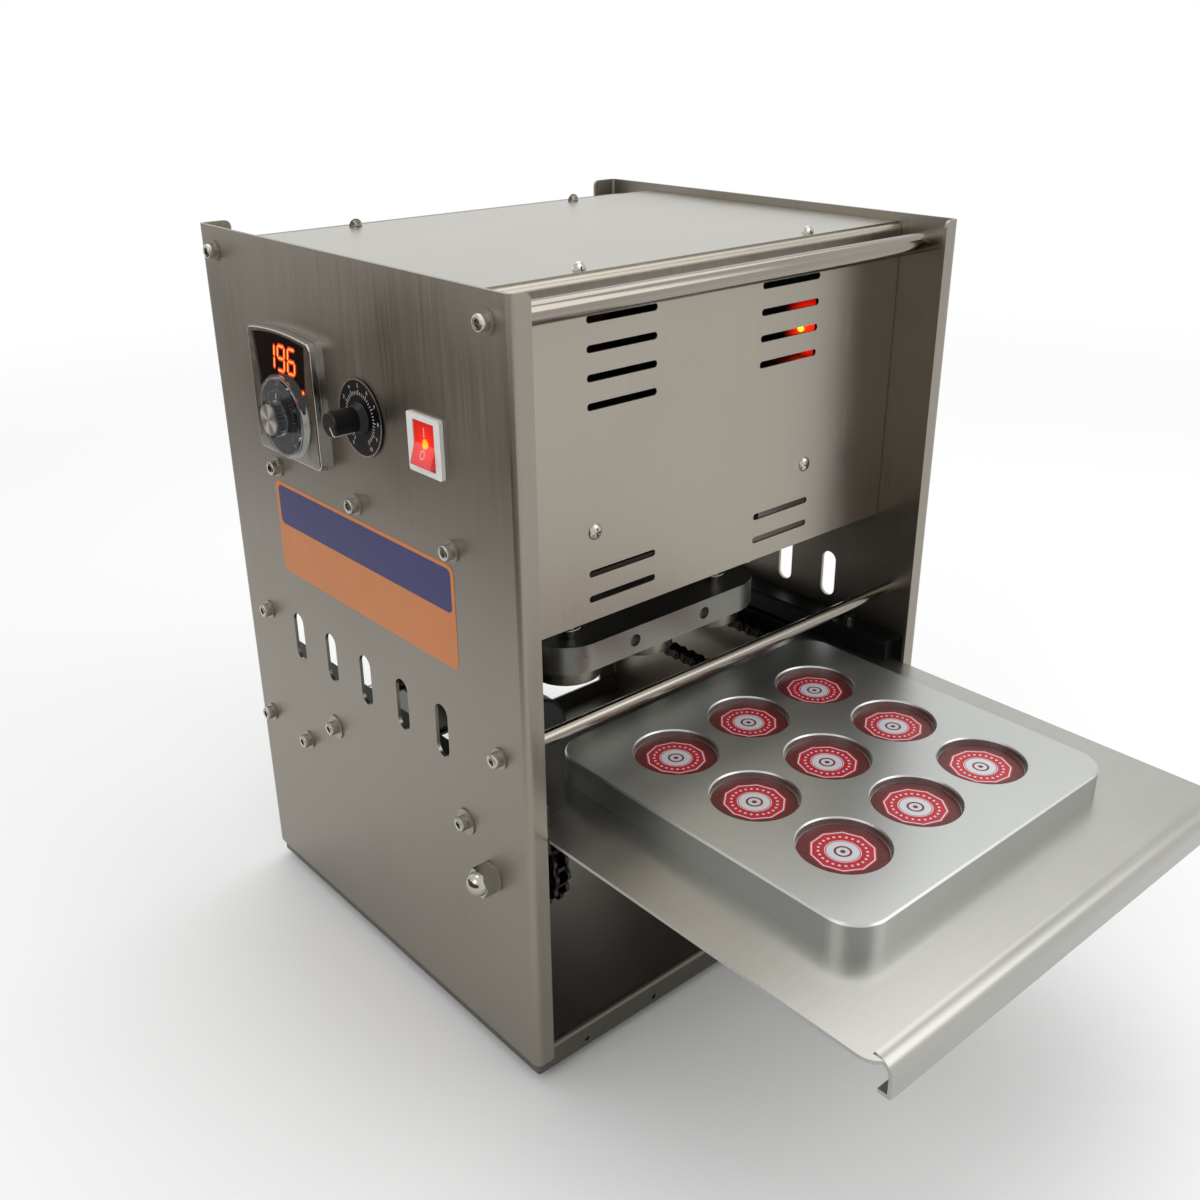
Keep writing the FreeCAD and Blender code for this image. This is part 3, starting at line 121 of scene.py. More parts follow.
def add(tree, kind, sockets=None, **settings):
    """Adds one node. Settings are its own properties, and sockets are connected as above."""
    node = tree.nodes.new(kind)
    for key, value in settings.items():
        setattr(node, key, value)
    connect(node, sockets or {})
    return node


def material(name, sockets=None):
    """A new material with only a Principled shader and its output. Returns it, its tree and the shader."""
    made = bpy.data.materials.new(name)
    made.use_nodes = True
    tree = made.node_tree
    tree.nodes.clear()
    shader = add(tree, "ShaderNodeBsdfPrincipled", sockets)
    add(tree, "ShaderNodeOutputMaterial", {"Surface": shader.outputs["BSDF"]})
    return made, tree, shader


# %% [markdown]
# ## Brushed stainless sheet
# The cabinet is 304 stainless steel with a belt-ground finish: short parallel scratches a few tenths
# of a millimetre wide. They blur reflections along one direction and show as fine streaks. Scratches
# that fine vanish at this distance, so they are drawn about 1 mm wide and 60 mm long. A second, broad
# noise of about 90 mm stands for handling marks, which dull the sheet in patches.


# %% Brushed steel
X, Y, Z = 0, 1, 2
patch_mm = 90.0


def shades(colour, amount):
    """The two ends of a Mix node: a hex colour made darker and lighter by a share of itself."""
    base = np.array(linear(colour)[:3])
    return {end: (*np.minimum(base * share, 1).tolist(), 1)
            for end, share in (("A", 1 - amount), ("B", 1 + amount))}


def brushed(name, colour, grain, rough=0.34, streak_mm=1.1, length_mm=60.0, depth_mm=0.012, mottle=0.06,
            spread=0.09):
    """Metal with streaks along one axis: a noise squeezed by streak width across and length along."""
    made, tree, shader = material(name, {"Metallic": 1.0})
    scale = [1000 / streak_mm] * 3
    scale[grain] = 1000 / length_mm
    place = add(tree, "ShaderNodeTexCoord")
    squeeze = add(tree, "ShaderNodeMapping", {"Vector": place.outputs["Object"], "Scale": scale})
    streaks = add(tree, "ShaderNodeTexNoise", {"Vector": squeeze.outputs[0], "Scale": 1.0, "Detail": 3.0})
    patches = add(tree, "ShaderNodeTexNoise",
                  {"Vector": place.outputs["Object"], "Scale": 1000 / patch_mm, "Detail": 2.0})
    both = add(tree, "ShaderNodeMath", {0: streaks.outputs["Fac"], 1: patches.outputs["Fac"]},
               operation="ADD")
    shade = add(tree, "ShaderNodeMapRange", {"Value": both.outputs[0], "From Min": 0.7, "From Max": 1.3})
    tint = add(tree, "ShaderNodeMix", {"Factor": shade.outputs[0], **shades(colour, mottle)},
               data_type="RGBA")
    gloss = add(tree, "ShaderNodeMapRange",
                {"Value": both.outputs[0], "From Min": 0.6, "From Max": 1.4, "To Min": rough - spread,
                 "To Max": rough + spread})
    relief = add(tree, "ShaderNodeBump",
                 {"Height": streaks.outputs["Fac"], "Distance": depth_mm * MM, "Strength": 1.0})
    connect(shader, {"Base Color": tint.outputs["Result"], "Roughness": gloss.outputs[0],
                     "Normal": relief.outputs[0]})
    return made


# Painted light and shade: one stainless sheet gets four base colours after how it is lit. The side plates and
# the base pan get darker ones as painted shade, the top cover a lighter one as painted light, and the front
# and rear panels one in between.
shaded_side_steel = brushed("brushed_stainless_side_sheet", "#918b81", Z, rough=0.35, streak_mm=0.7,
                     depth_mm=0.005, mottle=0.07)
panel_steel = brushed("brushed_stainless_panel", "#a09a8f", Z, rough=0.36, streak_mm=0.8)
lit_cover_steel = brushed("brushed_stainless_cover", "#aba89f", X, rough=0.3, streak_mm=0.8, depth_mm=0.004,
                      spread=0.05)
tray_steel = brushed("satin_stainless_tray", "#a9a8a3", X, rough=0.3, streak_mm=0.9, length_mm=50,
                     depth_mm=0.002, mottle=0.04, spread=0.035)
shaded_pan_steel = brushed("brushed_stainless_pan", "#6a675f", X, rough=0.38)
print("streaks 60 mm long in patches of %.0f mm" % patch_mm)

# %% [markdown]
# ## Plain metals
# Ground bar, plated screws and milled aluminium have finer marks than the sheet. The same squeezed
# noise serves with shorter, fainter streaks. Aluminium that was milled and clear anodised is paler
# and duller than steel, and the press plate is given a dark grey.

# %% Bars, screws and aluminium
# Painted shade: the bars get a darker base colour than the same ground steel of the posts, standing in for
# the dark surroundings that their round sides reflect.
shaded_bar_steel = brushed("ground_steel_bar", "#8f8980", X, rough=0.14, streak_mm=0.8, depth_mm=0.002, mottle=0.04)
post_steel = brushed("ground_steel_post", "#b9b5ad", Z, rough=0.18, streak_mm=0.8, depth_mm=0.003,
                     mottle=0.03)
screw_steel = brushed("plated_screw_steel", "#b2afa7", X, rough=0.17, streak_mm=0.6, length_mm=4,
                      depth_mm=0.002)
washer_steel = brushed("plated_washer_steel", "#9a968c", Y, rough=0.3, streak_mm=0.6, length_mm=3,
                       depth_mm=0.004)
mould_metal = brushed("milled_anodised_aluminium", "#b6b8b6", X, rough=0.33, streak_mm=0.8, length_mm=25,
                      depth_mm=0.002, mottle=0.025, spread=0.02)
plate_metal = brushed("milled_aluminium", "#9b9b96", X, rough=0.36, streak_mm=0.9, length_mm=25,
                      depth_mm=0.006)
dark_plate = brushed("dark_grey_aluminium", "#3a3835", X, rough=0.4, streak_mm=0.9, length_mm=25,
                     depth_mm=0.004)
heater_metal = brushed("heat_toned_aluminium", "#8f8e88", X, rough=0.36, streak_mm=0.9, length_mm=25,
                       depth_mm=0.006)
punch_metal = brushed("turned_heat_toned_punch", "#8b867c", Z, rough=0.3, streak_mm=0.5, length_mm=3)
chain_metal = brushed("oiled_chain_steel", "#3d3a36", Y, rough=0.34, streak_mm=0.8, length_mm=4)
gear_metal = brushed("machined_dark_steel", "#34322f", Y, rough=0.4, streak_mm=0.8, length_mm=4)
spring_metal = brushed("hard_drawn_spring_wire", "#8d8a84", Z, rough=0.26, streak_mm=0.5, length_mm=3)
bronze = brushed("turned_bronze", "#9a7a48", Z, rough=0.35, streak_mm=0.5, length_mm=3)
cast_metal = brushed("bead_blasted_casting", "#84837f", Z, rough=0.5, streak_mm=0.9, length_mm=1.0,
                     depth_mm=0.02)
print(len(bpy.data.materials), "metals")


# %% [markdown]
# ## Plastics, rubber and paint
# Moulded plastic has an even colour under a fine spark-eroded grain of about half a millimetre, which
# the eye reads as a soft sheen. A noise of that size, in the bump and a little in the roughness, does
# the same.


# %% Moulded plastic
def moulded(name, colour, rough=0.45, grain_mm=0.6, depth_mm=0.01, shine=0.5):
    """Plastic, rubber or paint: one colour with a fine even grain in height and roughness."""
    made, tree, shader = material(name, {"Specular IOR Level": shine})
    place = add(tree, "ShaderNodeTexCoord")
    grain = add(tree, "ShaderNodeTexNoise",
                {"Vector": place.outputs["Object"], "Scale": 1000 / grain_mm, "Detail": 2.0})
    cloud = add(tree, "ShaderNodeTexNoise", {"Vector": place.outputs["Object"], "Scale": 40.0, "Detail": 1.0})
    tint = add(tree, "ShaderNodeMix", {"Factor": cloud.outputs["Fac"], **shades(colour, 0.08)},
               data_type="RGBA")
    gloss = add(tree, "ShaderNodeMapRange",
                {"Value": grain.outputs["Fac"], "To Min": rough - 0.06, "To Max": rough + 0.06})
    relief = add(tree, "ShaderNodeBump",
                 {"Height": grain.outputs["Fac"], "Distance": depth_mm * MM, "Strength": 1.0})
    connect(shader, {"Base Color": tint.outputs["Result"], "Roughness": gloss.outputs[0],
                     "Normal": relief.outputs[0]})
    return made


black_nylon = moulded("machined_black_nylon", "#0a0a0b", rough=0.42, shine=0.3)
black_plastic = moulded("moulded_black_plastic", "#0a0a0b", rough=0.3, shine=0.25)
rubber = moulded("moulded_rubber", "#141414", rough=0.75)
white_plastic = moulded("moulded_white_nylon", "#d9d7d4", rough=0.38)
black_paint = moulded("satin_black_paint", "#1b1b1c", rough=0.45)
board_green = moulded("circuit_board_laminate", "#1d5a35", rough=0.4)
cup_plastic = moulded("moulded_cup_plastic", "#d8d4cc", rough=0.35)
anodised_black = moulded("black_anodised_disc", "#070708", rough=0.34, shine=0.15)
window_plastic = moulded("smoked_acrylic", "#080506", rough=0.1, depth_mm=0.001, shine=0.2)
print(len(bpy.data.materials), "finishes so far")


# %% Finishes on the solids
def dress(finishes):
    """Puts each finish on the solids named after it."""
    for finish, names in finishes.items():
        for name in names:
            nodes[name].data.materials.clear()
            nodes[name].data.materials.append(finish)
    print(sum(map(len, finishes.values())), "nodes dressed")


dress({
    shaded_side_steel: ["left_side_plate", "right_side_plate"],
    panel_steel: ["front_panel", "rear_panel"],
    lit_cover_steel: ["top_cover"],
    shaded_pan_steel: ["base_pan", "motor_pedestal", "chain_brackets"],
    tray_steel: ["tray"],
    shaded_bar_steel: ["top_rods", "middle_rods", "rear_shaft", "front_axles", "axle_collars"],
    post_steel: ["guide_columns", "actuator_rod", "shoulder_bolts", "mould_dowels"],
    screw_steel: ["side_cap_screws", "acorn_nuts", "panel_screws", "rail_top_screws", "shaft_bearings"],
    washer_steel: ["side_washers"],
    mould_metal: ["mould_plate"],
    plate_metal: ["bridge_plate", "bearing_blocks", "power_supply"],
    dark_plate: ["press_plate"],
    heater_metal: ["heater_plate", "cartridge_heaters"],
    punch_metal: ["sealing_punches"],
    chain_metal: ["left_chain", "right_chain"],
    gear_metal: ["left_front_sprocket", "right_front_sprocket", "rear_sprockets"],
    spring_metal: ["press_springs"],
    bronze: ["guide_bushes"],
    cast_metal: ["gearbox"],
    black_nylon: ["left_guide_rail", "right_guide_rail"],
    black_plastic: ["timer_body", "timer_knob", "power_inlet"],
    rubber: ["rubber_feet"],
    white_plastic: ["switch_housing"],
    black_paint: ["linear_actuator", "drive_motor"],
    board_green: ["control_board"],
    cup_plastic: ["cups"],
    anodised_black: ["timer_dial"],
    window_plastic: ["display_window"],
})

# %% [markdown]
# ## Bright and clear plastics
# The controller's frame is plastic with a thin silver layer, so it is shiny but softer than metal.
# The ring under its dial is chrome. The dial is clear acrylic: light passes through it and bends.

# %% Silvered, chrome and clear
silvered = brushed("silvered_plastic_frame", "#aeaca8", X, rough=0.15, streak_mm=5.0, length_mm=9.0,
                   depth_mm=0.0003, mottle=0.03)
chrome = brushed("chrome_ring", "#c9c9c7", X, rough=0.12, streak_mm=2.0, length_mm=4.0, depth_mm=0.001,
                 mottle=0.02)
clear, tree, shader = material("clear_acrylic", {"Base Color": linear("#c3c6c8"),
                                                 "Transmission Weight": 1.0, "IOR": 1.49})
place = add(tree, "ShaderNodeTexCoord")
haze = add(tree, "ShaderNodeTexNoise", {"Vector": place.outputs["Object"], "Scale": 300.0, "Detail": 2.0})
dull = add(tree, "ShaderNodeMapRange", {"Value": haze.outputs["Fac"], "To Min": 0.02, "To Max": 0.07})
connect(shader, {"Roughness": dull.outputs[0]})
dress({silvered: ["controller_housing"], chrome: ["dial_ring"], clear: ["temperature_knob"]})

# %% [markdown]
# ## A spun cap
# The cap on the dial is turned aluminium. A lathe leaves fine rings, and light on rings makes a bright
# fan. Here that fan is a painted highlight in the colour, lighter and darker with the angle around the dial's
# axis.

# %% Spun aluminium
highlight_fan_count = 4.0
dial_low, dial_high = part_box("temperature_knob_cap")
dial_middle = (dial_low + dial_high) / 2
spun, tree, shader = material("spun_aluminium_cap", {"Metallic": 1.0, "Roughness": 0.3})
place = add(tree, "ShaderNodeTexCoord")
centred = add(tree, "ShaderNodeVectorMath", {0: place.outputs["Object"], 1: tuple(dial_middle)},
              operation="SUBTRACT")
split = add(tree, "ShaderNodeSeparateXYZ", {0: centred.outputs[0]})
angle = add(tree, "ShaderNodeMath", {0: split.outputs["Z"], 1: split.outputs["Y"]}, operation="ARCTAN2")
fans = add(tree, "ShaderNodeMath", {0: angle.outputs[0], 1: highlight_fan_count}, operation="MULTIPLY")
wave = add(tree, "ShaderNodeMath", {0: fans.outputs[0]}, operation="SINE")
glow = add(tree, "ShaderNodeMapRange", {"Value": wave.outputs[0], "From Min": -1.0, "From Max": 1.0})
# Painted highlight: the fan of light on the turned rings is mixed into the base colour.
painted_fan_highlight = add(tree, "ShaderNodeMix", {"Factor": glow.outputs[0], "A": linear("#8d8a84"), "B": linear("#efece6")},
          data_type="RGBA")
connect(shader, {"Base Color": painted_fan_highlight.outputs["Result"]})
dress({spun: ["temperature_knob_cap"]})

# %% [markdown]
# ## A lit rocker
# The rocker is clear red plastic with a lamp behind its middle. It glows red all over, and turns
# yellow where the lamp is closest. The glow falls off with distance from that place, over 12 mm. Its
# two faces are 11.54 mm long and meet in a crease, and the lower one leans out.

# %% Lit red plastic
rocker_lean = math.radians(18)
rocker_face_mm = 11.54
rocker_low, rocker_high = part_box("switch_rocker")
crease_up = rocker_high.z / MM - rocker_face_mm
crease_out = (left_face - rocker_low.x) / MM - rocker_face_mm * math.sin(rocker_lean)
crease_back = ((rocker_low + rocker_high) / 2).y / MM
lamp_place = (left_face - crease_out * MM, (crease_back - 0.8) * MM, (crease_up + 0.3) * MM)
lit, tree, shader = material("lit_red_plastic", {"Base Color": linear("#b01810"), "Roughness": 0.18,
                                                 "Coat Weight": 0.4, "Emission Strength": 0.75})
place = add(tree, "ShaderNodeTexCoord")
from_lamp = add(tree, "ShaderNodeVectorMath", {0: place.outputs["Object"], 1: lamp_place},
                operation="DISTANCE")
near = add(tree, "ShaderNodeMapRange",
           {"Value": from_lamp.outputs["Value"], "From Min": 1.2 * MM, "From Max": 12 * MM, "To Min": 1.0,
            "To Max": 0.0})
heat = add(tree, "ShaderNodeValToRGB", {"Fac": near.outputs[0]})
stops = [(0, "#9c0a0a"), (1, "#ffe312"), (0.5, "#d8140e"), (0.84, "#ff2416"), (0.9, "#ffd810")]
for k, (stop, colour) in enumerate(stops):
    point = heat.color_ramp.elements[k] if k < 2 else heat.color_ramp.elements.new(stop)
    point.color = linear(colour)
connect(shader, {"Emission Color": heat.outputs["Color"]})
dress({lit: ["switch_rocker"]})

# %% [markdown]
# ## Lit figures and white print
# A display's bars and a small lamp are plastic that gives out its own colour, a little uneven as a
# lit diode is. The marks of the dials are printed in a white ink that is duller than the disc.


# %% Lit plastic and ink
def glowing(name, colour, strength):
    """A lit surface: dark plastic that gives out its own colour, up to a quarter brighter in places."""
    made, tree, shader = material(name, {"Base Color": linear("#200404"), "Emission Strength": strength})
    place = add(tree, "ShaderNodeTexCoord")
    grain = add(tree, "ShaderNodeTexNoise", {"Vector": place.outputs["Object"], "Scale": 900.0})
    brighter = tuple(min(1, channel * 1.25) for channel in linear(colour))
    tint = add(tree, "ShaderNodeMix", {"Factor": grain.outputs["Fac"], "A": linear(colour), "B": brighter},
               data_type="RGBA")
    connect(shader, {"Emission Color": tint.outputs["Result"]})
    return made


segment_core = glowing("lit_segment_core", "#ffb01e", 1.2)
segment_halo = glowing("lit_segment_halo", "#e6150a", 0.9)
print_white = moulded("printed_white_ink", "#c9c7c2", rough=0.5)
rim_silver = brushed("bare_disc_edge", "#b5ada3", X, rough=0.3, streak_mm=2.0, length_mm=4.0,
                     depth_mm=0.001, mottle=0.02)
print("lit core at 1.2 and halo at 0.9 of white")

# %% [markdown]
# ## Surfaces from grids
# Each added piece is a grid of points: rows run along a profile, columns run around or across it,
# and each cell of the grid is one face. Copies of a grid go into the same mesh. Rows that shrink to
# one point are merged, which closes the poles.

# %% Mesh from a grid
def piece(name, mesh, finish, body):
    """An object for a mesh, with its finish. It rides on a body."""
    mesh.materials.append(finish)
    made = bpy.data.objects.new(name, mesh)
    bpy.context.scene.collection.objects.link(made)
    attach(made, body)
    return made


def surface(name, grids, finish, body, sharp=35):
    """One object from equal grids shaped (rows, columns, 3), in metres. Four neighbours make a face."""
    points = np.stack(list(grids))
    copies, rows, columns = points.shape[:3]
    i, j = np.meshgrid(np.arange(rows - 1), np.arange(columns), indexing="ij")
    after = (j + 1) % columns
    cells = np.stack([i * columns + j, (i + 1) * columns + j, (i + 1) * columns + after,
                      i * columns + after], -1)
    cells = cells.reshape(1, -1, 4) + (np.arange(copies) * rows * columns).reshape(-1, 1, 1)
    mesh = bpy.data.meshes.new(name)
    mesh.from_pydata(points.reshape(-1, 3).tolist(), [], cells.reshape(-1, 4).tolist())
    grid = bmesh.new()
    grid.from_mesh(mesh)
    bmesh.ops.remove_doubles(grid, verts=grid.verts, dist=1e-6)
    bmesh.ops.recalc_face_normals(grid, faces=grid.faces)
    grid.to_mesh(mesh)
    grid.free()
    mesh.shade_smooth()
    mesh.set_sharp_from_angle(angle=math.radians(sharp))
    return piece(name, mesh, finish, body)


# %% [markdown]
# ## Where the fasteners sit
# A node can hold many screws as separate solids. Points that share an edge belong to one solid, so
# each point takes the lowest label among its neighbours until nothing changes. The box around each
# group then says where that screw sits and how far out its end is.


# %% Boxes of the solids in a node
def solids_of(name):
    """The lowest and highest corner of each separate solid in a node, as an array (solids, 2, 3)."""
    mesh = nodes[name].data
    points = np.empty(len(mesh.vertices) * 3)
    mesh.vertices.foreach_get("co", points)
    points = points.reshape(-1, 3)
    _, same = np.unique(np.round(points, 6), axis=0, return_inverse=True)
    same = same.reshape(-1)
    edges = np.empty(len(mesh.edges) * 2, int)
    mesh.edges.foreach_get("vertices", edges)
    edges = same[edges.reshape(-1, 2)]
    label = np.arange(same.max() + 1)
    while True:
        low = label.copy()
        np.minimum.at(low, edges[:, 0], label[edges[:, 1]])
        np.minimum.at(low, edges[:, 1], label[edges[:, 0]])
        low = low[low]
        if (low == label).all():
            break
        label = low
    groups = label[same]
    return np.array([[points[groups == g].min(0), points[groups == g].max(0)] for g in np.unique(groups)])


def end_of(low, high, axis, way):
    """The middle of the end of a box that faces one way along an axis."""
    end = (low + high) / 2
    end[axis] = high[axis] if way > 0 else low[axis]
    return end


print(len(solids_of("side_cap_screws")), "screws on the side plates")

# %% [markdown]
# ## Turned shapes
# Most small parts here were made on a lathe: a profile goes once around an axis. With height h and
# radius r along the profile, a point lies h along the axis and at r cos(t), r sin(t) across it. A
# radius may itself change with t, which gives knurls, ribs and sockets.


# %% Turning a profile
def around(count):
    """Angles of a full turn, without the last one that would repeat the first."""
    return np.linspace(0, 2 * np.pi, count, endpoint=False)


def turned(place, profile, axis=X, way=-1, count=32):
    """A profile of (height, radius) in mm turned about an axis through a place; it rises towards way."""
    turn, profile = around(count), list(profile)
    first, second = [k for k in (X, Y, Z) if k != axis]
    grid = np.empty((len(profile), count, 3))
    for row, (height, radius) in zip(grid, profile):
        row[:, axis] = place[axis] + way * height * MM
        row[:, first] = place[first] + radius * np.cos(turn) * MM
        row[:, second] = place[second] + radius * np.sin(turn) * MM
    return grid


print("a turned ring has", turned((0, 0, 0), [(0, 1), (1, 1)]).shape[1], "points around")

# %% [markdown]
# ## Socket head screws
# The plates are held with M5 cap screws. The head has a knurled side, a small chamfer and a hexagon
# socket 4 mm across its flats. All of it is one turned profile. In the socket the radius isn't the
# same all round but follows a hexagon: apothem / cos(angle within the sixth).


# %% Cap screw heads
def hexagon(angle, apothem):
    """The distance from the middle to a hexagon's side: apothem / cos(angle within 60 degrees)."""
    return apothem / np.cos((angle + np.pi / 6) % (np.pi / 3) - np.pi / 6)


cap_count, knurl_count = 144, 36
turn = around(cap_count)
knurled = 4.2 + 0.09 * np.cos(knurl_count * turn)
socket = hexagon(turn, 2.0)
cap_head = [(-5.0, 4.1), (-4.7, knurled), (-0.7, knurled), (-0.25, 4.0), (0.0, 3.6),
            (0.0, hexagon(turn, 2.15)), (-0.2, socket), (-2.6, socket), (-2.9, 0.0)]
caps = []
for low, high in solids_of("side_cap_screws"):
    way = 1 if low[X] + high[X] > 2 * middle_x else -1
    caps.append(turned(end_of(low, high, X, way), cap_head, X, way, cap_count))
heads = surface("cap_screw_heads", caps, screw_steel, "cabinet")
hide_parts("side_cap_screws")
print(len(caps), "cap screw heads with", knurl_count, "knurls")

# %% [markdown]
# ## Cross recess screws
# The panels have pan head screws with a cross recess. The recess has the outline of a plus sign,
# which in polar form is the nearer of an arm's end and its side: end / cos(angle) or half width /
# sin(angle), with the angle folded into one eighth of a turn. The rows of the head run from the rim
# over the dome to that outline, and then down.


# %% Pan heads
def plus_sign(angle, arm, half_width):
    """The distance from the middle to the outline of a plus sign at each angle."""
    folded = angle % (np.pi / 2)
    folded = np.minimum(folded, np.pi / 2 - folded)
    return np.where(np.tan(folded) < half_width / arm, arm / np.cos(folded),
                    half_width / np.sin(folded + 1e-9))


pan_count, pan_radius, pan_high = 96, 4.6, 2.2
share = np.array([0.0, 0.15, 0.35, 0.6, 0.85, 1.0, 1.0, 1.0])[:, None]
radius = pan_radius + (plus_sign(around(pan_count), 2.3, 0.5) - pan_radius) * share
radius[6] *= 0.9
radius[7] = 0
height = pan_high * (1 - (radius / (pan_radius + 0.01)) ** 2) ** 0.6
height[6:] = 0.7
pan_rows = list(zip(height - pan_high, radius))


def pan_head(top, axis, way, size=1.0):
    """A head whose highest point is at a place in metres and which faces along an axis."""
    return turned(top, [(size * high, size * wide) for high, wide in pan_rows], axis, way, pan_count)


middle_y = (plate_low.y + plate_high.y) / 2
pan_heads = []
for low, high in solids_of("panel_screws"):
    axis = Z if high[Z] - low[Z] > high[Y] - low[Y] else Y
    way = 1 if axis == Z or low[Y] + high[Y] > 2 * middle_y else -1
    pan_heads.append(pan_head(end_of(low, high, axis, way), axis, way))
pans = surface("pan_screw_heads", pan_heads, screw_steel, "cabinet")
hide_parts("panel_screws")
print(len(pan_heads), "cross recess screws")

# %% [markdown]
# ## Gearbox
# The drive's gearbox is a cast block. Its rear has a bolted cover, and a rubber lip seals the shaft on
# both sides. The seal is a turned profile. A cover is a rounded rectangle, four quarter circles joined
# by straight sides, raised from the face and closed at its middle.


# %% Cover, screws and seals
def rounded_panel(name, origin, across, out, low, high, radius, lifts, finish):
    """A thin panel between two corners (across, up) in mm on a plane through origin, from lift to lift."""
    quarter = np.radians(np.linspace(0, 90, 9))
    right, top, left, bottom = high[0] - radius, high[1] - radius, low[0] + radius, low[1] + radius
    ring = np.concatenate([
        np.stack([a + radius * np.cos(quarter + start), b + radius * np.sin(quarter + start)], -1)
        for a, b, start in ((right, top, 0), (left, top, np.pi / 2), (left, bottom, np.pi),
                            (right, bottom, 1.5 * np.pi))])
    rows = []
    for lift, scale in ((lifts[0], 1.0), (lifts[1], 1.0), (lifts[1], 0.985), (lifts[1], 0.0)):
        inner = ring.mean(0) + (ring - ring.mean(0)) * scale
        rows.append(inner[:, :1] * np.array(across) + inner[:, 1:] * np.array((0, 0, 1))
                    + lift * np.array(out))
    return surface(name, [np.stack(rows) * MM + np.array(origin)], finish, "cabinet")


cover_margin, screw_margin = 5, 4.5
gear_low, gear_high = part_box("gearbox")
gear_middle = (gear_low + gear_high) / 2
rear_face = Vector((gear_middle.x, gear_high.y, gear_middle.z))
half_wide = (gear_high.x - gear_low.x) / 2 / MM - cover_margin
half_tall = (gear_high.z - gear_low.z) / 2 / MM - cover_margin
rounded_panel("gearbox_cover", rear_face, (1, 0, 0), (0, 1, 0), (-half_wide, -half_tall),
              (half_wide, half_tall), 4.0, (-0.1, 1.6), cast_metal)
corners = [rear_face + Vector((x * (half_wide - screw_margin), 3.0, z * (half_tall - screw_margin))) * MM
           for x in (-1, 1) for z in (-1, 1)]
surface("gearbox_screws", [pan_head(corner, Y, 1, size=0.65) for corner in corners], screw_steel,
        "cabinet")
shaft_low, shaft_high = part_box("rear_shaft")
shaft_at = (shaft_low + shaft_high) / 2
seal = [(-0.1, 11.0), (1.2, 11.0), (1.6, 10.6), (1.6, 8.4), (1.0, 8.0), (-0.1, 8.0), (-0.1, 11.0)]
seals = [turned((x, shaft_at.y, shaft_at.z), seal, X, way, 48)
         for x, way in ((gear_low.x, -1), (gear_high.x, 1))]
surface("gearbox_seals", seals, rubber, "cabinet")
print("gearbox cover %.0f by %.0f mm" % (2 * half_wide, 2 * half_tall))

# %% [markdown]
# ## Coil springs
# Four compression springs push the heater down. Each is round wire wound in a helix. The pitch is
# tight in the first and last half turn, so that the spring stands flat on its ends. A circle of wire
# is carried along that path.

# %% Springs
spring_boxes = solids_of("press_springs")
wire, turns, wire_sides = 1.0, 5.5, 10
along = np.linspace(0, 1, 220)
at_ends = np.abs(along - 0.5) > 0.25
ease = along - 0.9 * np.sin(4 * np.pi * along) / (4 * np.pi) * at_ends
length = (spring_boxes[0, 1, 2] - spring_boxes[0, 0, 2]) / MM - 2 * wire
coil_radius = (spring_boxes[0, 1, 0] - spring_boxes[0, 0, 0]) / MM / 2 - wire
theta = 2 * np.pi * turns * along
path = np.stack([coil_radius * np.cos(theta), coil_radius * np.sin(theta), wire + length * ease], -1)
ahead = np.gradient(path, axis=0)
ahead /= np.linalg.norm(ahead, axis=1, keepdims=True)
outward = np.stack([np.cos(theta), np.sin(theta), 0 * theta], -1)
upward = np.cross(outward, ahead)
turn = around(wire_sides)[:, None]
tube = path[:, None] + wire * (np.cos(turn) * outward[:, None] + np.sin(turn) * upward[:, None])
tube = np.concatenate([path[:1, None].repeat(wire_sides, 1), tube, path[-1:, None].repeat(wire_sides, 1)])
feet = np.stack([spring_boxes.mean(1)[:, 0], spring_boxes.mean(1)[:, 1], spring_boxes[:, 0, 2]], -1)
coils = surface("coil_springs", tube[None] * MM + feet[:, None, None], spring_metal, "press")
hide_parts("press_springs")
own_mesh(coils)
print("springs %.1f mm long, of %.1f mm wire" % (length + 2 * wire, 2 * wire))

# %% [markdown]
# ## Display
# The controller shows its reading with seven segments to a figure. A segment is a bar with pointed
# ends: a hexagon. Each figure leans by ten degrees. The bars lie on the window and glow. Light spreads
# in the smoked window, so that each bar has a bright yellow core on a wider red one.

# %% Figures of the display
half_h, half_w = 14.2 / 2, 7.6 / 2
figure_step, figure_lean = 11.6, math.tan(math.radians(10))
display_back, display_up = 203.9, 391.3
segments = {
    "top": (0, half_h, True), "middle": (0, 0, True), "bottom": (0, -half_h, True),
    "upper_left": (-half_w, half_h / 2, False), "upper_right": (half_w, half_h / 2, False),
    "lower_left": (-half_w, -half_h / 2, False), "lower_right": (half_w, -half_h / 2, False),
}
right_side = ["upper_right", "lower_right"]
figures = [
    (-figure_step, right_side),
    (0.0, ["top", "middle", "bottom", "upper_left", *right_side]),
    (figure_step, ["top", "middle", "bottom", "upper_left", "lower_left", "lower_right"]),
]
window_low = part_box("display_window")[0]


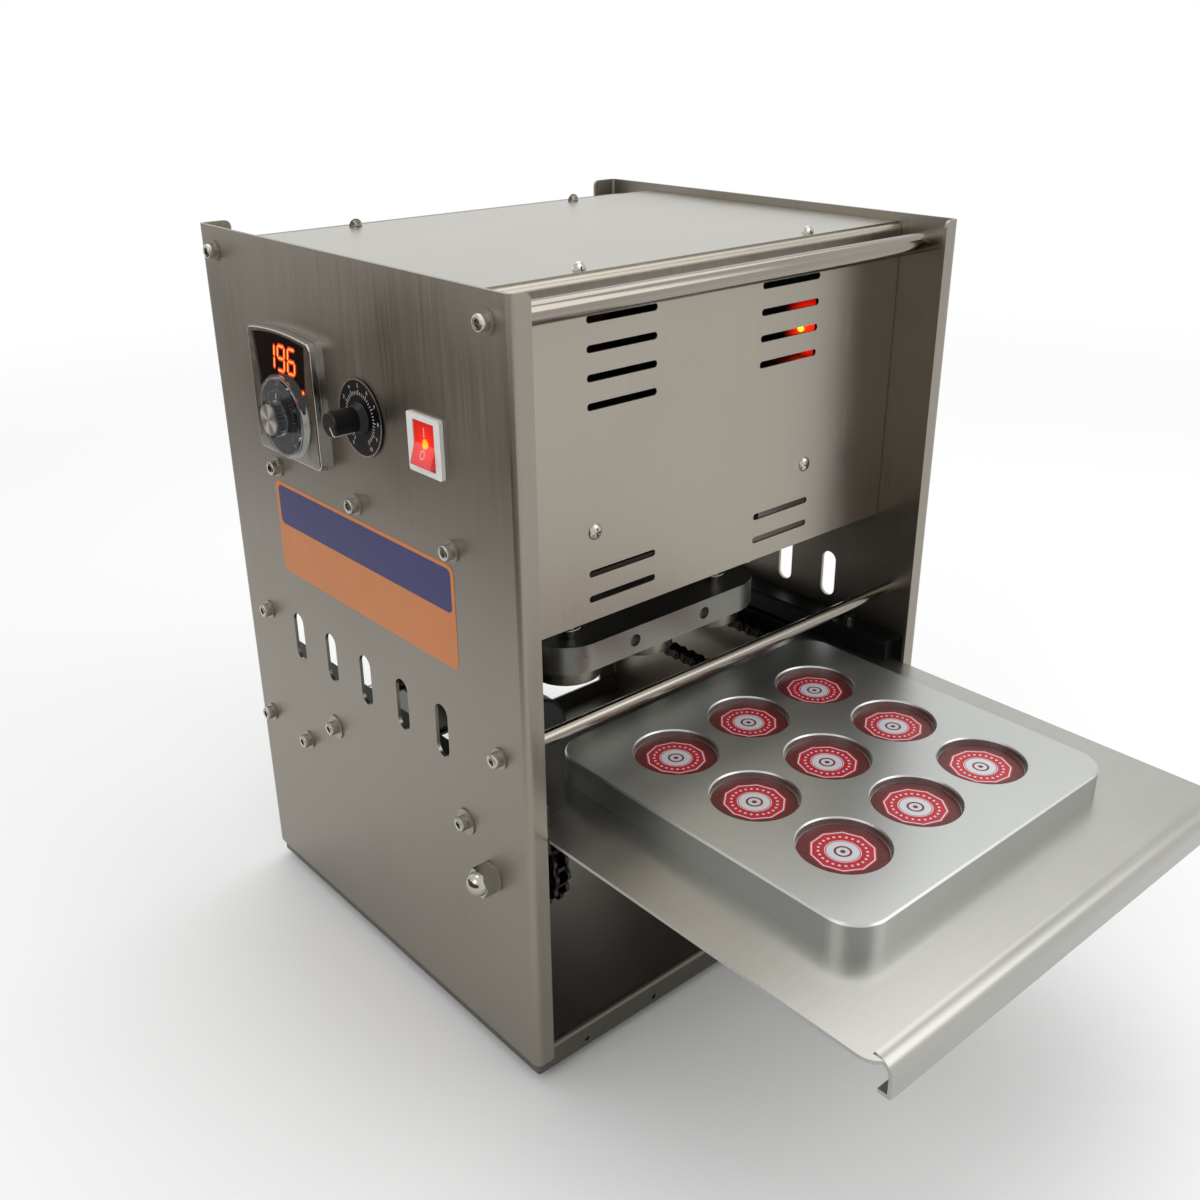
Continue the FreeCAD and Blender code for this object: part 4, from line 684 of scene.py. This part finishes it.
def reading(name, bar, low_mm, high_mm, finish):
    """The three figures with bars of one width, standing off the window from one height to another."""
    bars = []
    for offset, lit_segments in figures:
        for across, up, lying in (segments[segment] for segment in lit_segments):
            span = (half_w if lying else half_h / 2) - 0.9 + bar / 2
            outline = np.array([(-span, 0), (-span + bar / 2, bar / 2), (span - bar / 2, bar / 2), (span, 0),
                                (span - bar / 2, -bar / 2), (-span + bar / 2, -bar / 2)])
            outline = (outline if lying else outline[:, ::-1]) + (across, up)
            back = display_back - offset - outline[:, 0] - outline[:, 1] * figure_lean
            rows = [np.stack([np.full(6, window_low.x / MM - out_mm),
                              front_face / MM + back.mean() + (back - back.mean()) * scale,
                              display_up + up + (outline[:, 1] - up) * scale], -1)
                    for out_mm, scale in ((low_mm, 1.0), (high_mm, 1.0), (high_mm, 0.0))]
            bars.append(np.stack(rows) * MM)
    surface(name, bars, finish, "cabinet", sharp=20)
    print(name, "has", len(bars), "bars")


reading("display_halo", 3.0, 0.02, 0.1, segment_halo)
reading("display_figures", 0.9, 0.12, 0.22, segment_core)

# %% [markdown]
# ## Flat discs
# A lamp in the window, the dial's backing and the timer's bare edge are flat discs or rings. Each is
# a short turned profile: an edge, a face, and for a ring the inner edge too.


# %% Discs and the display's lamp
def disc(place, radius, thickness, count=32, inner=0.0):
    """A flat disc or ring that faces left: rows at its edge, its face, and a ring's inner edge."""
    rows = [(0.0, radius), (thickness, radius), (thickness, inner)] + ([(0.0, inner)] if inner else [])
    return turned(place, rows, count=count)


window_out = (left_face - window_low.x) / MM
surface("display_lamp", [disc(at(window_out, 182.0, 376), 1.7, 0.2, 24)], segment_halo, "cabinet")
surface("display_lamp_core", [disc(at(window_out + 0.22, 181.7, 376), 0.8, 0.15, 24)], segment_core,
        "cabinet")
print("window stands %.1f mm out" % window_out)

# %% [markdown]
# ## Scales
# Both dials have a printed scale: short marks on an arc, some of them longer, with numbers at the long
# ones. Each mark is a thin bar that points at the dial's middle. The temperature scale is printed on a
# black disc behind the clear dial, so that it shows through the dial as on the real one.


# %% Marks on the dials
def scale_marks(name, centre, inner, short, long, count, start, stop, body, width=0.35, thick=0.06, every=1):
    """Radial bars on an arc. Corner k of mark i is at radius r_k and angle a_i, shifted by half a width."""
    angles = np.radians(np.linspace(start, stop, count))
    outer = np.where(np.arange(count) % every == 0, long, short)
    rows = []
    for out_mm in (0.0, thick):
        corners = []
        for radius, half in ((inner + 0 * outer, -1), (inner + 0 * outer, 1), (outer, 1), (outer, -1)):
            across = half * width / 2
            corners.append(np.stack([
                np.full(count, -out_mm), radius * np.sin(angles) + across * np.cos(angles),
                radius * np.cos(angles) - across * np.sin(angles)], -1))
        rows.append(np.stack(corners, 1))
    rows.append(rows[-1].mean(1, keepdims=True).repeat(4, 1))
    return surface(name, np.stack(rows, 1) * MM + np.array(centre), print_white, body,
                   sharp=20)


timer_low, timer_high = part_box("timer_dial")
timer_centre = Vector((timer_low.x, (timer_low.y + timer_high.y) / 2, (timer_low.z + timer_high.z) / 2))
scale_marks("timer_scale", timer_centre, inner=12.6, short=14.4, long=15.4, count=41, start=-150, stop=150,
            body="cabinet", every=4)
surface("timer_disc_rim", [disc(timer_centre, 21.35, 0.2, 96, inner=20.4)], rim_silver, "cabinet")
backing_mm = 0.12
ring_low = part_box("dial_ring")[0]
ring_face = Vector((ring_low.x - 0.02 * MM, dial_middle.y, dial_middle.z))
surface("dial_backing", [disc(ring_face, 21.6, backing_mm, 64)], anodised_black, "cabinet")
scale_marks("dial_scale", ring_face - Vector((backing_mm * MM, 0, 0)), inner=15.0, short=16.4, long=17.4,
            count=37, start=-135, stop=135, body="cabinet", thick=0.04, every=6)
print("41 marks on the timer, 37 on the temperature dial")

# %% [markdown]
# ## Figures of the scales
# The numbers come from Blender's own text outlines. Each becomes a flat mesh, is turned to face left
# and is set on its arc. All numbers of a dial are then joined in one piece.


# %% Numbers on the dials
def numerals(name, words, centre, radius, height, start, stop):
    """Words on an arc: word i is centred at radius * (sin a_i, cos a_i) from the dial's middle."""
    whole = bmesh.new()
    for word, angle in zip(words, np.radians(np.linspace(start, stop, len(words)))):
        text = bpy.data.curves.new(name, "FONT")
        text.body = word
        text.size = height * MM
        text.align_x = "CENTER"
        text.align_y = "CENTER"
        text.resolution_u = 3
        holder = bpy.data.objects.new(name, text)
        flat = bpy.data.meshes.new_from_object(holder)
        flat.transform(Matrix(((0, 0, -1, centre.x), (-1, 0, 0, centre.y - radius * math.sin(angle) * MM),
                               (0, 1, 0, centre.z + radius * math.cos(angle) * MM), (0, 0, 0, 1))))
        whole.from_mesh(flat)
        bpy.data.objects.remove(holder)
        bpy.data.curves.remove(text)
        bpy.data.meshes.remove(flat)
    bmesh.ops.triangulate(whole, faces=whole.faces)
    mesh = bpy.data.meshes.new(name)
    whole.to_mesh(mesh)
    whole.free()
    return piece(name, mesh, print_white, "cabinet")


numerals("timer_figures", [str(k) for k in range(11)], timer_centre - Vector((0.06 * MM, 0, 0)), 17.6, 3.0,
         -150, 150)
numerals("dial_figures", ["0", "100", "200", "300", "400"], ring_face - Vector((0.16 * MM, 0, 0)), 19.4, 2.6,
         -135, 135)
print("timer disc", [round(v, 4) for v in timer_low], "dial backing at x =", round(ring_face.x, 4))

# %% [markdown]
# ## Insert of the clear knob
# A clear knob is pressed onto a splined bush, which is what makes its barrel look grey. The bush is a
# turned profile whose radius has 24 ribs: R + 0.25 cos(24 t). On the disc, one white line points at
# the scale.

# %% Splined bush and dial pointer
bush_count, rib_count = 144, 24
disc_face = dial_low.x + 6.0 * MM
ribs = 7.6 + 0.25 * np.cos(rib_count * around(bush_count))
profile = [(5.0, 0), (5.0, ribs - 0.4), (4.7, ribs), (-1.0, ribs), (-1.0, 0)]
bush = turned((disc_face, dial_middle.y, dial_middle.z), profile, count=bush_count)
bush_grey = brushed("splined_bush", "#77787a", X, rough=0.3, streak_mm=0.5, length_mm=3.0, depth_mm=0.002)
surface("dial_bush", [bush], bush_grey, "temperature_dial")
pointer_foot = Vector((disc_face - 0.01 * MM, dial_middle.y, dial_middle.z))
scale_marks("dial_pointer", pointer_foot, inner=11.2, short=14.4, long=14.4, count=1, start=-3, stop=-3,
            body="temperature_dial", width=0.7)
print("clear disc faces out at x = %.4f m" % disc_face)

# %% [markdown]
# ## Marks on the rocker
# The rocker carries the two usual marks, a bar for on and a ring for off. It has two flat faces that
# meet in a crease. The upper one is level with the plate, and the lower one leans out by 18 degrees.
# A mark is drawn flat, as distances across and along a face, and then carried onto that face.


# %% Bar and ring
def on_rocker(across, along, lift=0.05):
    """Places in metres from mm across and along the rocker's faces from the crease, and lifted off."""
    lean = np.where(along < 0, rocker_lean, 0.0)
    out_mm = crease_out - along * np.sin(lean) + lift * np.cos(lean)
    up_mm = crease_up + along * np.cos(lean) + lift * np.sin(lean)
    return np.stack([left_face / MM - out_mm, crease_back + across + 0 * along, up_mm], -1) * MM


lift_mm = 0.06
bar_across = np.array([-0.28, 0.28, 0.28, -0.28])
bar_along = np.array([3.6, 3.6, 8.6, 8.6])
on_mark = np.stack([on_rocker(bar_across, bar_along, 0.0), on_rocker(bar_across, bar_along, lift_mm),
                    on_rocker(0 * bar_across, 6.1 + 0 * bar_along, lift_mm)])
surface("rocker_mark_on", [on_mark], print_white, "rocker", sharp=20)
turn = around(48)
band = [(1.55, 0.0), (1.55, lift_mm), (2.05, lift_mm), (2.05, 0.0), (1.55, 0.0)]
off_mark = np.stack([on_rocker(r * np.cos(turn), -5.4 + 1.15 * r * np.sin(turn), lift) for r, lift in band])
surface("rocker_mark_off", [off_mark], print_white, "rocker", sharp=20)
print("crease of the rocker %.2f mm out, %.2f mm up" % (crease_out, crease_up))

# %% [markdown]
# ## Lamp on the control board
# Through the right hand slots of the front panel a red glow shows: a lit lamp on the board inside, and
# its light on the board. The lamp is a turned dome, a short tube closed by a quarter circle, with
# radius = R cos(t) and height = h + R sin(t). The light on the board is painted: the board's own
# material glows red, falling off with the distance from the lamp.

# %% Board lamp and its glow
lamp_radius, tube_mm = 1.6, 1.2
board_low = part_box("control_board")[0]
quarter = np.radians(np.linspace(0, 90, 7))
dome = [(0.0, lamp_radius)] + [(tube_mm + lamp_radius * math.sin(t), lamp_radius * math.cos(t))
                               for t in quarter]
lamp_foot = Vector((board_low.x, board_low.y + 9 * MM, 383.5 * MM))
surface("board_lamp", [turned(lamp_foot, dome, count=24)], glowing("lit_board_lamp", "#ffa818", 6.0),
        "cabinet")
glow_place = (board_low.x, board_low.y + 1 * MM, 385 * MM)
# Painted light: the board's material gets a red glow around the lamp, as if lit by it.
tree = board_green.node_tree
place = add(tree, "ShaderNodeTexCoord")
off_lamp = add(tree, "ShaderNodeVectorMath", {0: place.outputs["Object"], 1: glow_place},
               operation="DISTANCE")
fall = add(tree, "ShaderNodeMapRange",
           {"Value": off_lamp.outputs["Value"], "From Min": 4 * MM, "From Max": 24 * MM, "To Min": 1.0,
            "To Max": 0.0}, interpolation_type="SMOOTHSTEP")
painted_board_glow = add(tree, "ShaderNodeMix",
            {"Factor": fall.outputs[0], "A": linear("#000000"), "B": linear("#ff1a08")}, data_type="RGBA")
connect(tree.nodes["Principled BSDF"], {"Emission Color": painted_board_glow.outputs["Result"], "Emission Strength": 1.6})
print("lamp at %.0f mm up" % (lamp_foot.z / MM))

# %% [markdown]
# ## Chain rivets
# A roller chain is held by riveted pins whose rounded ends stand out of the outer plates. The pins
# lie one pitch apart on two straight runs and two half circles around the sprockets. Each end is a
# low dome.

# %% Rivet ends
pitch, teeth = 9.525, 16
pitch_radius = pitch / (2 * math.sin(math.pi / teeth))
front_low, front_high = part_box("left_front_sprocket")
rear_low, rear_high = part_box("rear_sprockets")
axle = np.array([front_low.y + front_high.y, front_low.z + front_high.z]) / 2 / MM
shaft = np.array([rear_low.y + rear_high.y, rear_low.z + rear_high.z]) / 2 / MM
span = round((shaft[0] - axle[0]) / pitch)
run = np.arange(span)[:, None] * (pitch, 0)
bend = 2 * np.pi * np.arange(teeth // 2)[:, None] / teeth
arm = pitch_radius * np.concatenate([np.sin(bend), np.cos(bend)], 1)
pins = np.concatenate([axle + arm[:1] + run, shaft + arm, shaft - arm[:1] - run, axle - arm])
faces = [(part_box(chain)[side].x, way) for chain in ("left_chain", "right_chain")
         for side, way in ((0, -1), (1, 1))]
rivet = [(-0.2, 1.6), (0.35, 1.6), (0.6, 1.0), (0.65, 0.0)]
rivets = [turned((face, y * MM, z * MM), rivet, X, way, 10) for face, way in faces for y, z in pins]
surface("chain_rivets", rivets, chain_metal, "cabinet")
print(len(pins), "pins in each chain")

# %% [markdown]
# ## Pointer
# The timer's knob has one white line along its side and over its end. It is a flat bar 0.9 mm wide,
# carried along the knob's outline: each row is one cross section of the bar.

# %% Pointer line
reach_mm = (left_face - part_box("timer_knob")[0].x) / MM
outer_line = np.array([(-13, 7.04), (-0.8, 7.04), (0.03, 6.2), (0.03, 1.5)]) + (reach_mm, 0)
inner_line = np.array([(-13, 6.9), (-0.86, 6.9), (-0.1, 6.14), (-0.1, 1.5)]) + (reach_mm, 0)
swing, half_line = math.radians(-35), 0.45
pointer = np.empty((6, 4, 3))
edges = ((outer_line, -half_line), (outer_line, half_line), (inner_line, half_line), (inner_line, -half_line))
for j, (line, half) in enumerate(edges):
    pointer[1:5, j, 0] = left_face - line[:, 0] * MM
    pointer[1:5, j, 1] = timer_centre.y + (half * math.cos(swing) + line[:, 1] * math.sin(swing)) * MM
    pointer[1:5, j, 2] = timer_centre.z + (half * math.sin(swing) - line[:, 1] * math.cos(swing)) * MM
pointer[0] = pointer[1].mean(0)
pointer[5] = pointer[4].mean(0)
surface("timer_pointer_line", [pointer], print_white, "timer_handle", sharp=20)
print("timer knob reaches %.1f mm out" % reach_mm)

# %% [markdown]
# ## Label
# Under the controls is a label of printed vinyl. It is two thin rounded panels, an orange one and a
# dark blue one on its upper part, so that its edge catches the light as a real sticker's does.

# %% A two-colour label
vinyl_orange = moulded("printed_orange_vinyl", "#bd7236", rough=0.42, grain_mm=0.8, depth_mm=0.004)
vinyl_blue = moulded("printed_blue_vinyl", "#26265f", rough=0.42, grain_mm=0.8, depth_mm=0.004)
plate_corner = Vector((left_face, front_face, 0))
rounded_panel("label_sheet", plate_corner, (0, 1, 0), (-1, 0, 0), (56.0, 249.0), (244.6, 309.0), 5.0,
              (0.02, 0.14), vinyl_orange)
rounded_panel("label_band", plate_corner, (0, 1, 0), (-1, 0, 0), (59.0, 281.5), (241.0, 306.5), 3.5,
              (0.14, 0.2), vinyl_blue)
print("label 188.6 by 60 mm")

# %% [markdown]
# ## Lids
# Each cup is closed with foil that has a ten-sided badge printed on it. The printing is a drawing in
# the material. Its coordinates are millimetres from the lid's middle, kept as a UV map. The distance
# to a ten-sided outline is radius times cos(angle within 36 degrees). A plain ring of dots fills the
# red band: the squared distance to the nearest of them, on a circle of radius R, is
# r * r + R * R - 2 R r cos(angle within 15 degrees).

# %% Printed foil
foil, tree, shader = material("printed_red_foil", {"Roughness": 0.4, "Metallic": 0.25})
place = add(tree, "ShaderNodeUVMap", uv_map="from_middle")
split = add(tree, "ShaderNodeSeparateXYZ", {0: place.outputs[0]})
from_middle = add(tree, "ShaderNodeVectorMath", {0: place.outputs[0]}, operation="LENGTH")
angle = add(tree, "ShaderNodeMath", {0: split.outputs["Y"], 1: split.outputs["X"]}, operation="ARCTAN2")
part = add(tree, "ShaderNodeMath", {0: angle.outputs[0], 1: math.radians(18), 2: math.radians(-18)},
           operation="WRAP")
nearness = add(tree, "ShaderNodeMath", {0: part.outputs[0]}, operation="COSINE")
ten_sided = add(tree, "ShaderNodeMath", {0: from_middle.outputs["Value"], 1: nearness.outputs[0]},
                operation="MULTIPLY")
speckle = add(tree, "ShaderNodeTexNoise",
              {"Vector": place.outputs[0], "Scale": 1.3, "Detail": 4.0, "Roughness": 0.8})
contrast = add(tree, "ShaderNodeMapRange",
               {"Value": speckle.outputs["Fac"], "From Min": 0.38, "From Max": 0.66})
foil_red = add(tree, "ShaderNodeMix",
               {"Factor": contrast.outputs[0], "A": linear("#2c0708"), "B": linear("#7d2f2c")},
               data_type="RGBA")


def banded(factor, bands, outside):
    """A colour for each band of a distance in mm, given from the middle outwards, over what lies outside."""
    farthest = 24.0
    scaled = add(tree, "ShaderNodeMapRange", {"Value": factor, "From Max": farthest})
    ramp = add(tree, "ShaderNodeValToRGB", {"Fac": scaled.outputs[0]})
    ramp.color_ramp.interpolation = "CONSTANT"
    ramp.color_ramp.elements.remove(ramp.color_ramp.elements[1])
    start = 0.0
    for k, (reach, colour) in enumerate(bands):
        stops = ramp.color_ramp.elements
        point = stops[0] if k == 0 else stops.new(start / farthest)
        point.color = linear(colour)
        start = reach
    beyond = add(tree, "ShaderNodeMath", {0: factor, 1: start}, operation="GREATER_THAN")
    mixed = add(tree, "ShaderNodeMix",
                {"Factor": beyond.outputs[0], "A": ramp.outputs["Color"], "B": outside}, data_type="RGBA")
    return mixed.outputs["Result"]


print_red, print_pale, print_dark = "#b3192a", "#c6c9ce", "#6e1620"
badge = banded(ten_sided.outputs[0], [(15.3, print_red), (16.1, print_pale), (16.9, print_red)],
               foil_red.outputs["Result"])
centre = banded(from_middle.outputs["Value"],
                [(1.4, print_dark), (3.4, print_pale), (4.6, print_dark), (8.4, print_pale),
                 (8.9, print_red), (9.4, print_pale)], badge)
print(len(tree.nodes), "nodes for the badge")

# %% Ring of dots and crinkles
dot_circle, dot_radius = 12.4, 0.75
sector = add(tree, "ShaderNodeMath", {0: angle.outputs[0], 1: math.radians(7.5), 2: math.radians(-7.5)},
             operation="WRAP")
towards = add(tree, "ShaderNodeMath", {0: sector.outputs[0]}, operation="COSINE")
reached = add(tree, "ShaderNodeMath", {0: from_middle.outputs["Value"], 1: towards.outputs[0]},
              operation="MULTIPLY")
squared = add(tree, "ShaderNodeMath", {0: from_middle.outputs["Value"], 1: 2.0}, operation="POWER")
gap = add(tree, "ShaderNodeMath", {0: reached.outputs[0], 1: -2 * dot_circle, 2: squared.outputs[0]},
          operation="MULTIPLY_ADD")
dot = add(tree, "ShaderNodeMath", {0: gap.outputs[0], 1: dot_radius ** 2 - dot_circle ** 2},
          operation="LESS_THAN")
dotted = add(tree, "ShaderNodeMix", {"Factor": dot.outputs[0], "A": centre, "B": linear(print_pale)},
             data_type="RGBA")
crinkle = add(tree, "ShaderNodeTexNoise", {"Vector": place.outputs[0], "Scale": 0.5, "Detail": 2.0})
relief = add(tree, "ShaderNodeBump",
             {"Height": crinkle.outputs["Fac"], "Distance": 0.2 * MM, "Strength": 0.6})
connect(shader, {"Base Color": dotted.outputs["Result"], "Normal": relief.outputs[0]})
print("dots on a circle of %.1f mm radius" % dot_circle)

# %% [markdown]
# ## Foil discs
# A lid is a disc that sags a little towards its middle, with a narrow curled rim. Rows run outwards
# from the middle: height = -0.25 mm * cos(pi * r / 2R) squared, and at the rim a small step up and a
# turned down edge. Nine low waves go round it, as in foil that was pressed into a well.

# %% Lids on the cups
lid_boxes = solids_of("foil_lids")
lid_radius = (lid_boxes[0, 1, 0] - lid_boxes[0, 0, 0]) / MM / 2
lid_count = 72
radius = np.array([0.0, 4, 8, 12, 16, 19, 21, 22, 22.6, 23.1, lid_radius - 0.15, lid_radius,
                   lid_radius])[:, None]
sag = -0.25 * np.cos(np.pi * radius / (2 * lid_radius)) ** 2
sag[8] -= 0.12
sag[9:11] = 0.0
sag[11] = -0.1
sag[12] = -0.28
waves = 0.01 * np.cos(9 * around(lid_count)) * radius / lid_radius
lid_rows = list(zip(sag + waves - 0.01, radius))
seats = np.stack([lid_boxes.mean(1)[:, 0], lid_boxes.mean(1)[:, 1], lid_boxes[:, 1, 2]], -1)
lids = surface("printed_lids", [turned(seat, lid_rows, Z, 1, lid_count) for seat in seats], foil, "tray")
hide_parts("foil_lids")
mesh = lids.data
corners = np.empty(len(mesh.loops), int)
mesh.loops.foreach_get("vertex_index", corners)
spots = np.empty(len(mesh.vertices) * 3)
mesh.vertices.foreach_get("co", spots)
spots = spots.reshape(-1, 3)[:, :2]
nearest = np.linalg.norm(spots[:, None] - seats[None, :, :2], axis=2).argmin(1)
swing = np.radians(np.array([14, 160, -35, 75, 200, 118, -80, 20, 250]))[nearest]
off = (spots - seats[nearest, :2]) / MM
swung = np.stack([off[:, 0] * np.cos(swing) - off[:, 1] * np.sin(swing),
                  off[:, 0] * np.sin(swing) + off[:, 1] * np.cos(swing)], -1)
layer = mesh.uv_layers.new(name="from_middle")
layer.data.foreach_set("uv", swung[corners].reshape(-1))
print(len(seats), "lids")

# %% [markdown]
# ## Camera
# The photograph was taken from the machine's left front, a little above it. The camera's place and
# its three angles were worked out from the corners of the cabinet, with a lens of 38 mm on a frame
# 36 mm wide.

# %% Camera
camera_place = middle(-499.3, -444.0, 560.3)
turn_right = math.radians(40.82)
look_down = math.radians(24.39)
roll = math.radians(-0.54)
eye = bpy.data.cameras.new("camera")
eye.lens = 38.15
eye.sensor_width = 36.0
eye.clip_start = 0.01
camera = bpy.data.objects.new("camera", eye)
bpy.context.scene.collection.objects.link(camera)
camera.matrix_world = (Matrix.Translation(camera_place) @ Matrix.Rotation(-turn_right, 4, "Z")
                       @ Matrix.Rotation(math.pi / 2 - look_down, 4, "X") @ Matrix.Rotation(roll, 4, "Z"))
bpy.context.scene.camera = camera
print("camera looks along", [round(v, 3) for v in camera.matrix_world.to_3x3() @ Vector((0, 0, -1))])

# %% [markdown]
# ## Light
# A pale floor fades into the white of the world. Three softboxes light the machine: one behind it
# that the flat tops reflect, one in front and one at the left. The world fills the shadows. A dark
# card stands at the left, as in a photographer's studio. Only reflections see it, and it gives the
# upper part of the left sheet its deeper tone.

# %% Floor, lamps and world
def backdrop(name, corners, finish):
    """A flat sheet of the studio between four corners in metres."""
    mesh = bpy.data.meshes.new(name)
    mesh.from_pydata(corners, [], [(0, 1, 2, 3)])
    mesh.materials.append(finish)
    made = bpy.data.objects.new(name, mesh)
    bpy.context.scene.collection.objects.link(made)
    return made


paper, tree, shader = material("pale_paper_floor", {"Base Color": linear("#f1f1f1"), "Roughness": 0.9,
                                                    "Specular IOR Level": 0.0})
place = add(tree, "ShaderNodeTexCoord")
away = add(tree, "ShaderNodeVectorMath", {0: place.outputs["Object"]}, operation="LENGTH")
fade = add(tree, "ShaderNodeMapRange",
           {"Value": away.outputs["Value"], "From Min": 0.9, "From Max": 2.2, "To Min": 1.0, "To Max": 0.0},
           interpolation_type="SMOOTHSTEP")
connect(shader, {"Alpha": fade.outputs[0]})
reach = 3.0
backdrop("floor", [(-reach, -reach, 0), (reach, -reach, 0), (reach, reach, 0), (-reach, reach, 0)], paper)


def softbox(name, place, aim, size, power):
    """A square lamp at a place, turned to face another."""
    lamp = bpy.data.lights.new(name, "AREA")
    lamp.size = size
    lamp.energy = power
    box = bpy.data.objects.new(name, lamp)
    bpy.context.scene.collection.objects.link(box)
    box.location = place
    box.rotation_euler = (Vector(aim) - Vector(place)).to_track_quat("-Z", "Y").to_euler()


softbox("softbox_top", (0.5, 0.5, 2.3), (0, 0, 0.25), 2.3, 24)
softbox("softbox_front", (1.0, -1.7, 1.7), (0, 0, 0.25), 1.6, 14)
softbox("softbox_left", (-1.9, -0.2, 1.5), (0, 0, 0.25), 1.2, 7)
card_corners = [(-0.62, -0.6, 0.02), (-0.62, 1.4, 0.02), (-0.62, 1.4, 0.33), (-0.62, -0.6, 0.33)]
card = backdrop("dark_card", card_corners, moulded("dark_studio_card", "#55432f", rough=0.9))
for ray in ("camera", "diffuse", "shadow", "transmission"):
    setattr(card, "visible_" + ray, False)

world = bpy.data.worlds.new("studio")
bpy.context.scene.world = world
world.use_nodes = True
sky = world.node_tree
sky.nodes.clear()
fill = add(sky, "ShaderNodeBackground", {"Color": linear("#ffffff"), "Strength": 0.7})
seen = add(sky, "ShaderNodeBackground", {"Color": linear("#ffffff"), "Strength": 1.0})
rays = add(sky, "ShaderNodeLightPath")
seen_ray = rays.outputs["Is Camera Ray"]
for kind in ("Is Glossy Ray", "Is Transmission Ray"):
    either_ray = add(sky, "ShaderNodeMath", {0: seen_ray, 1: rays.outputs[kind]}, operation="MAXIMUM")
    seen_ray = either_ray.outputs[0]
either = add(sky, "ShaderNodeMixShader", {0: seen_ray, 1: fill.outputs[0], 2: seen.outputs[0]})
add(sky, "ShaderNodeOutputWorld", {"Surface": either.outputs[0]})
bpy.context.scene.view_settings.view_transform = "Standard"
print("three softboxes, world at 0.7 on the object")
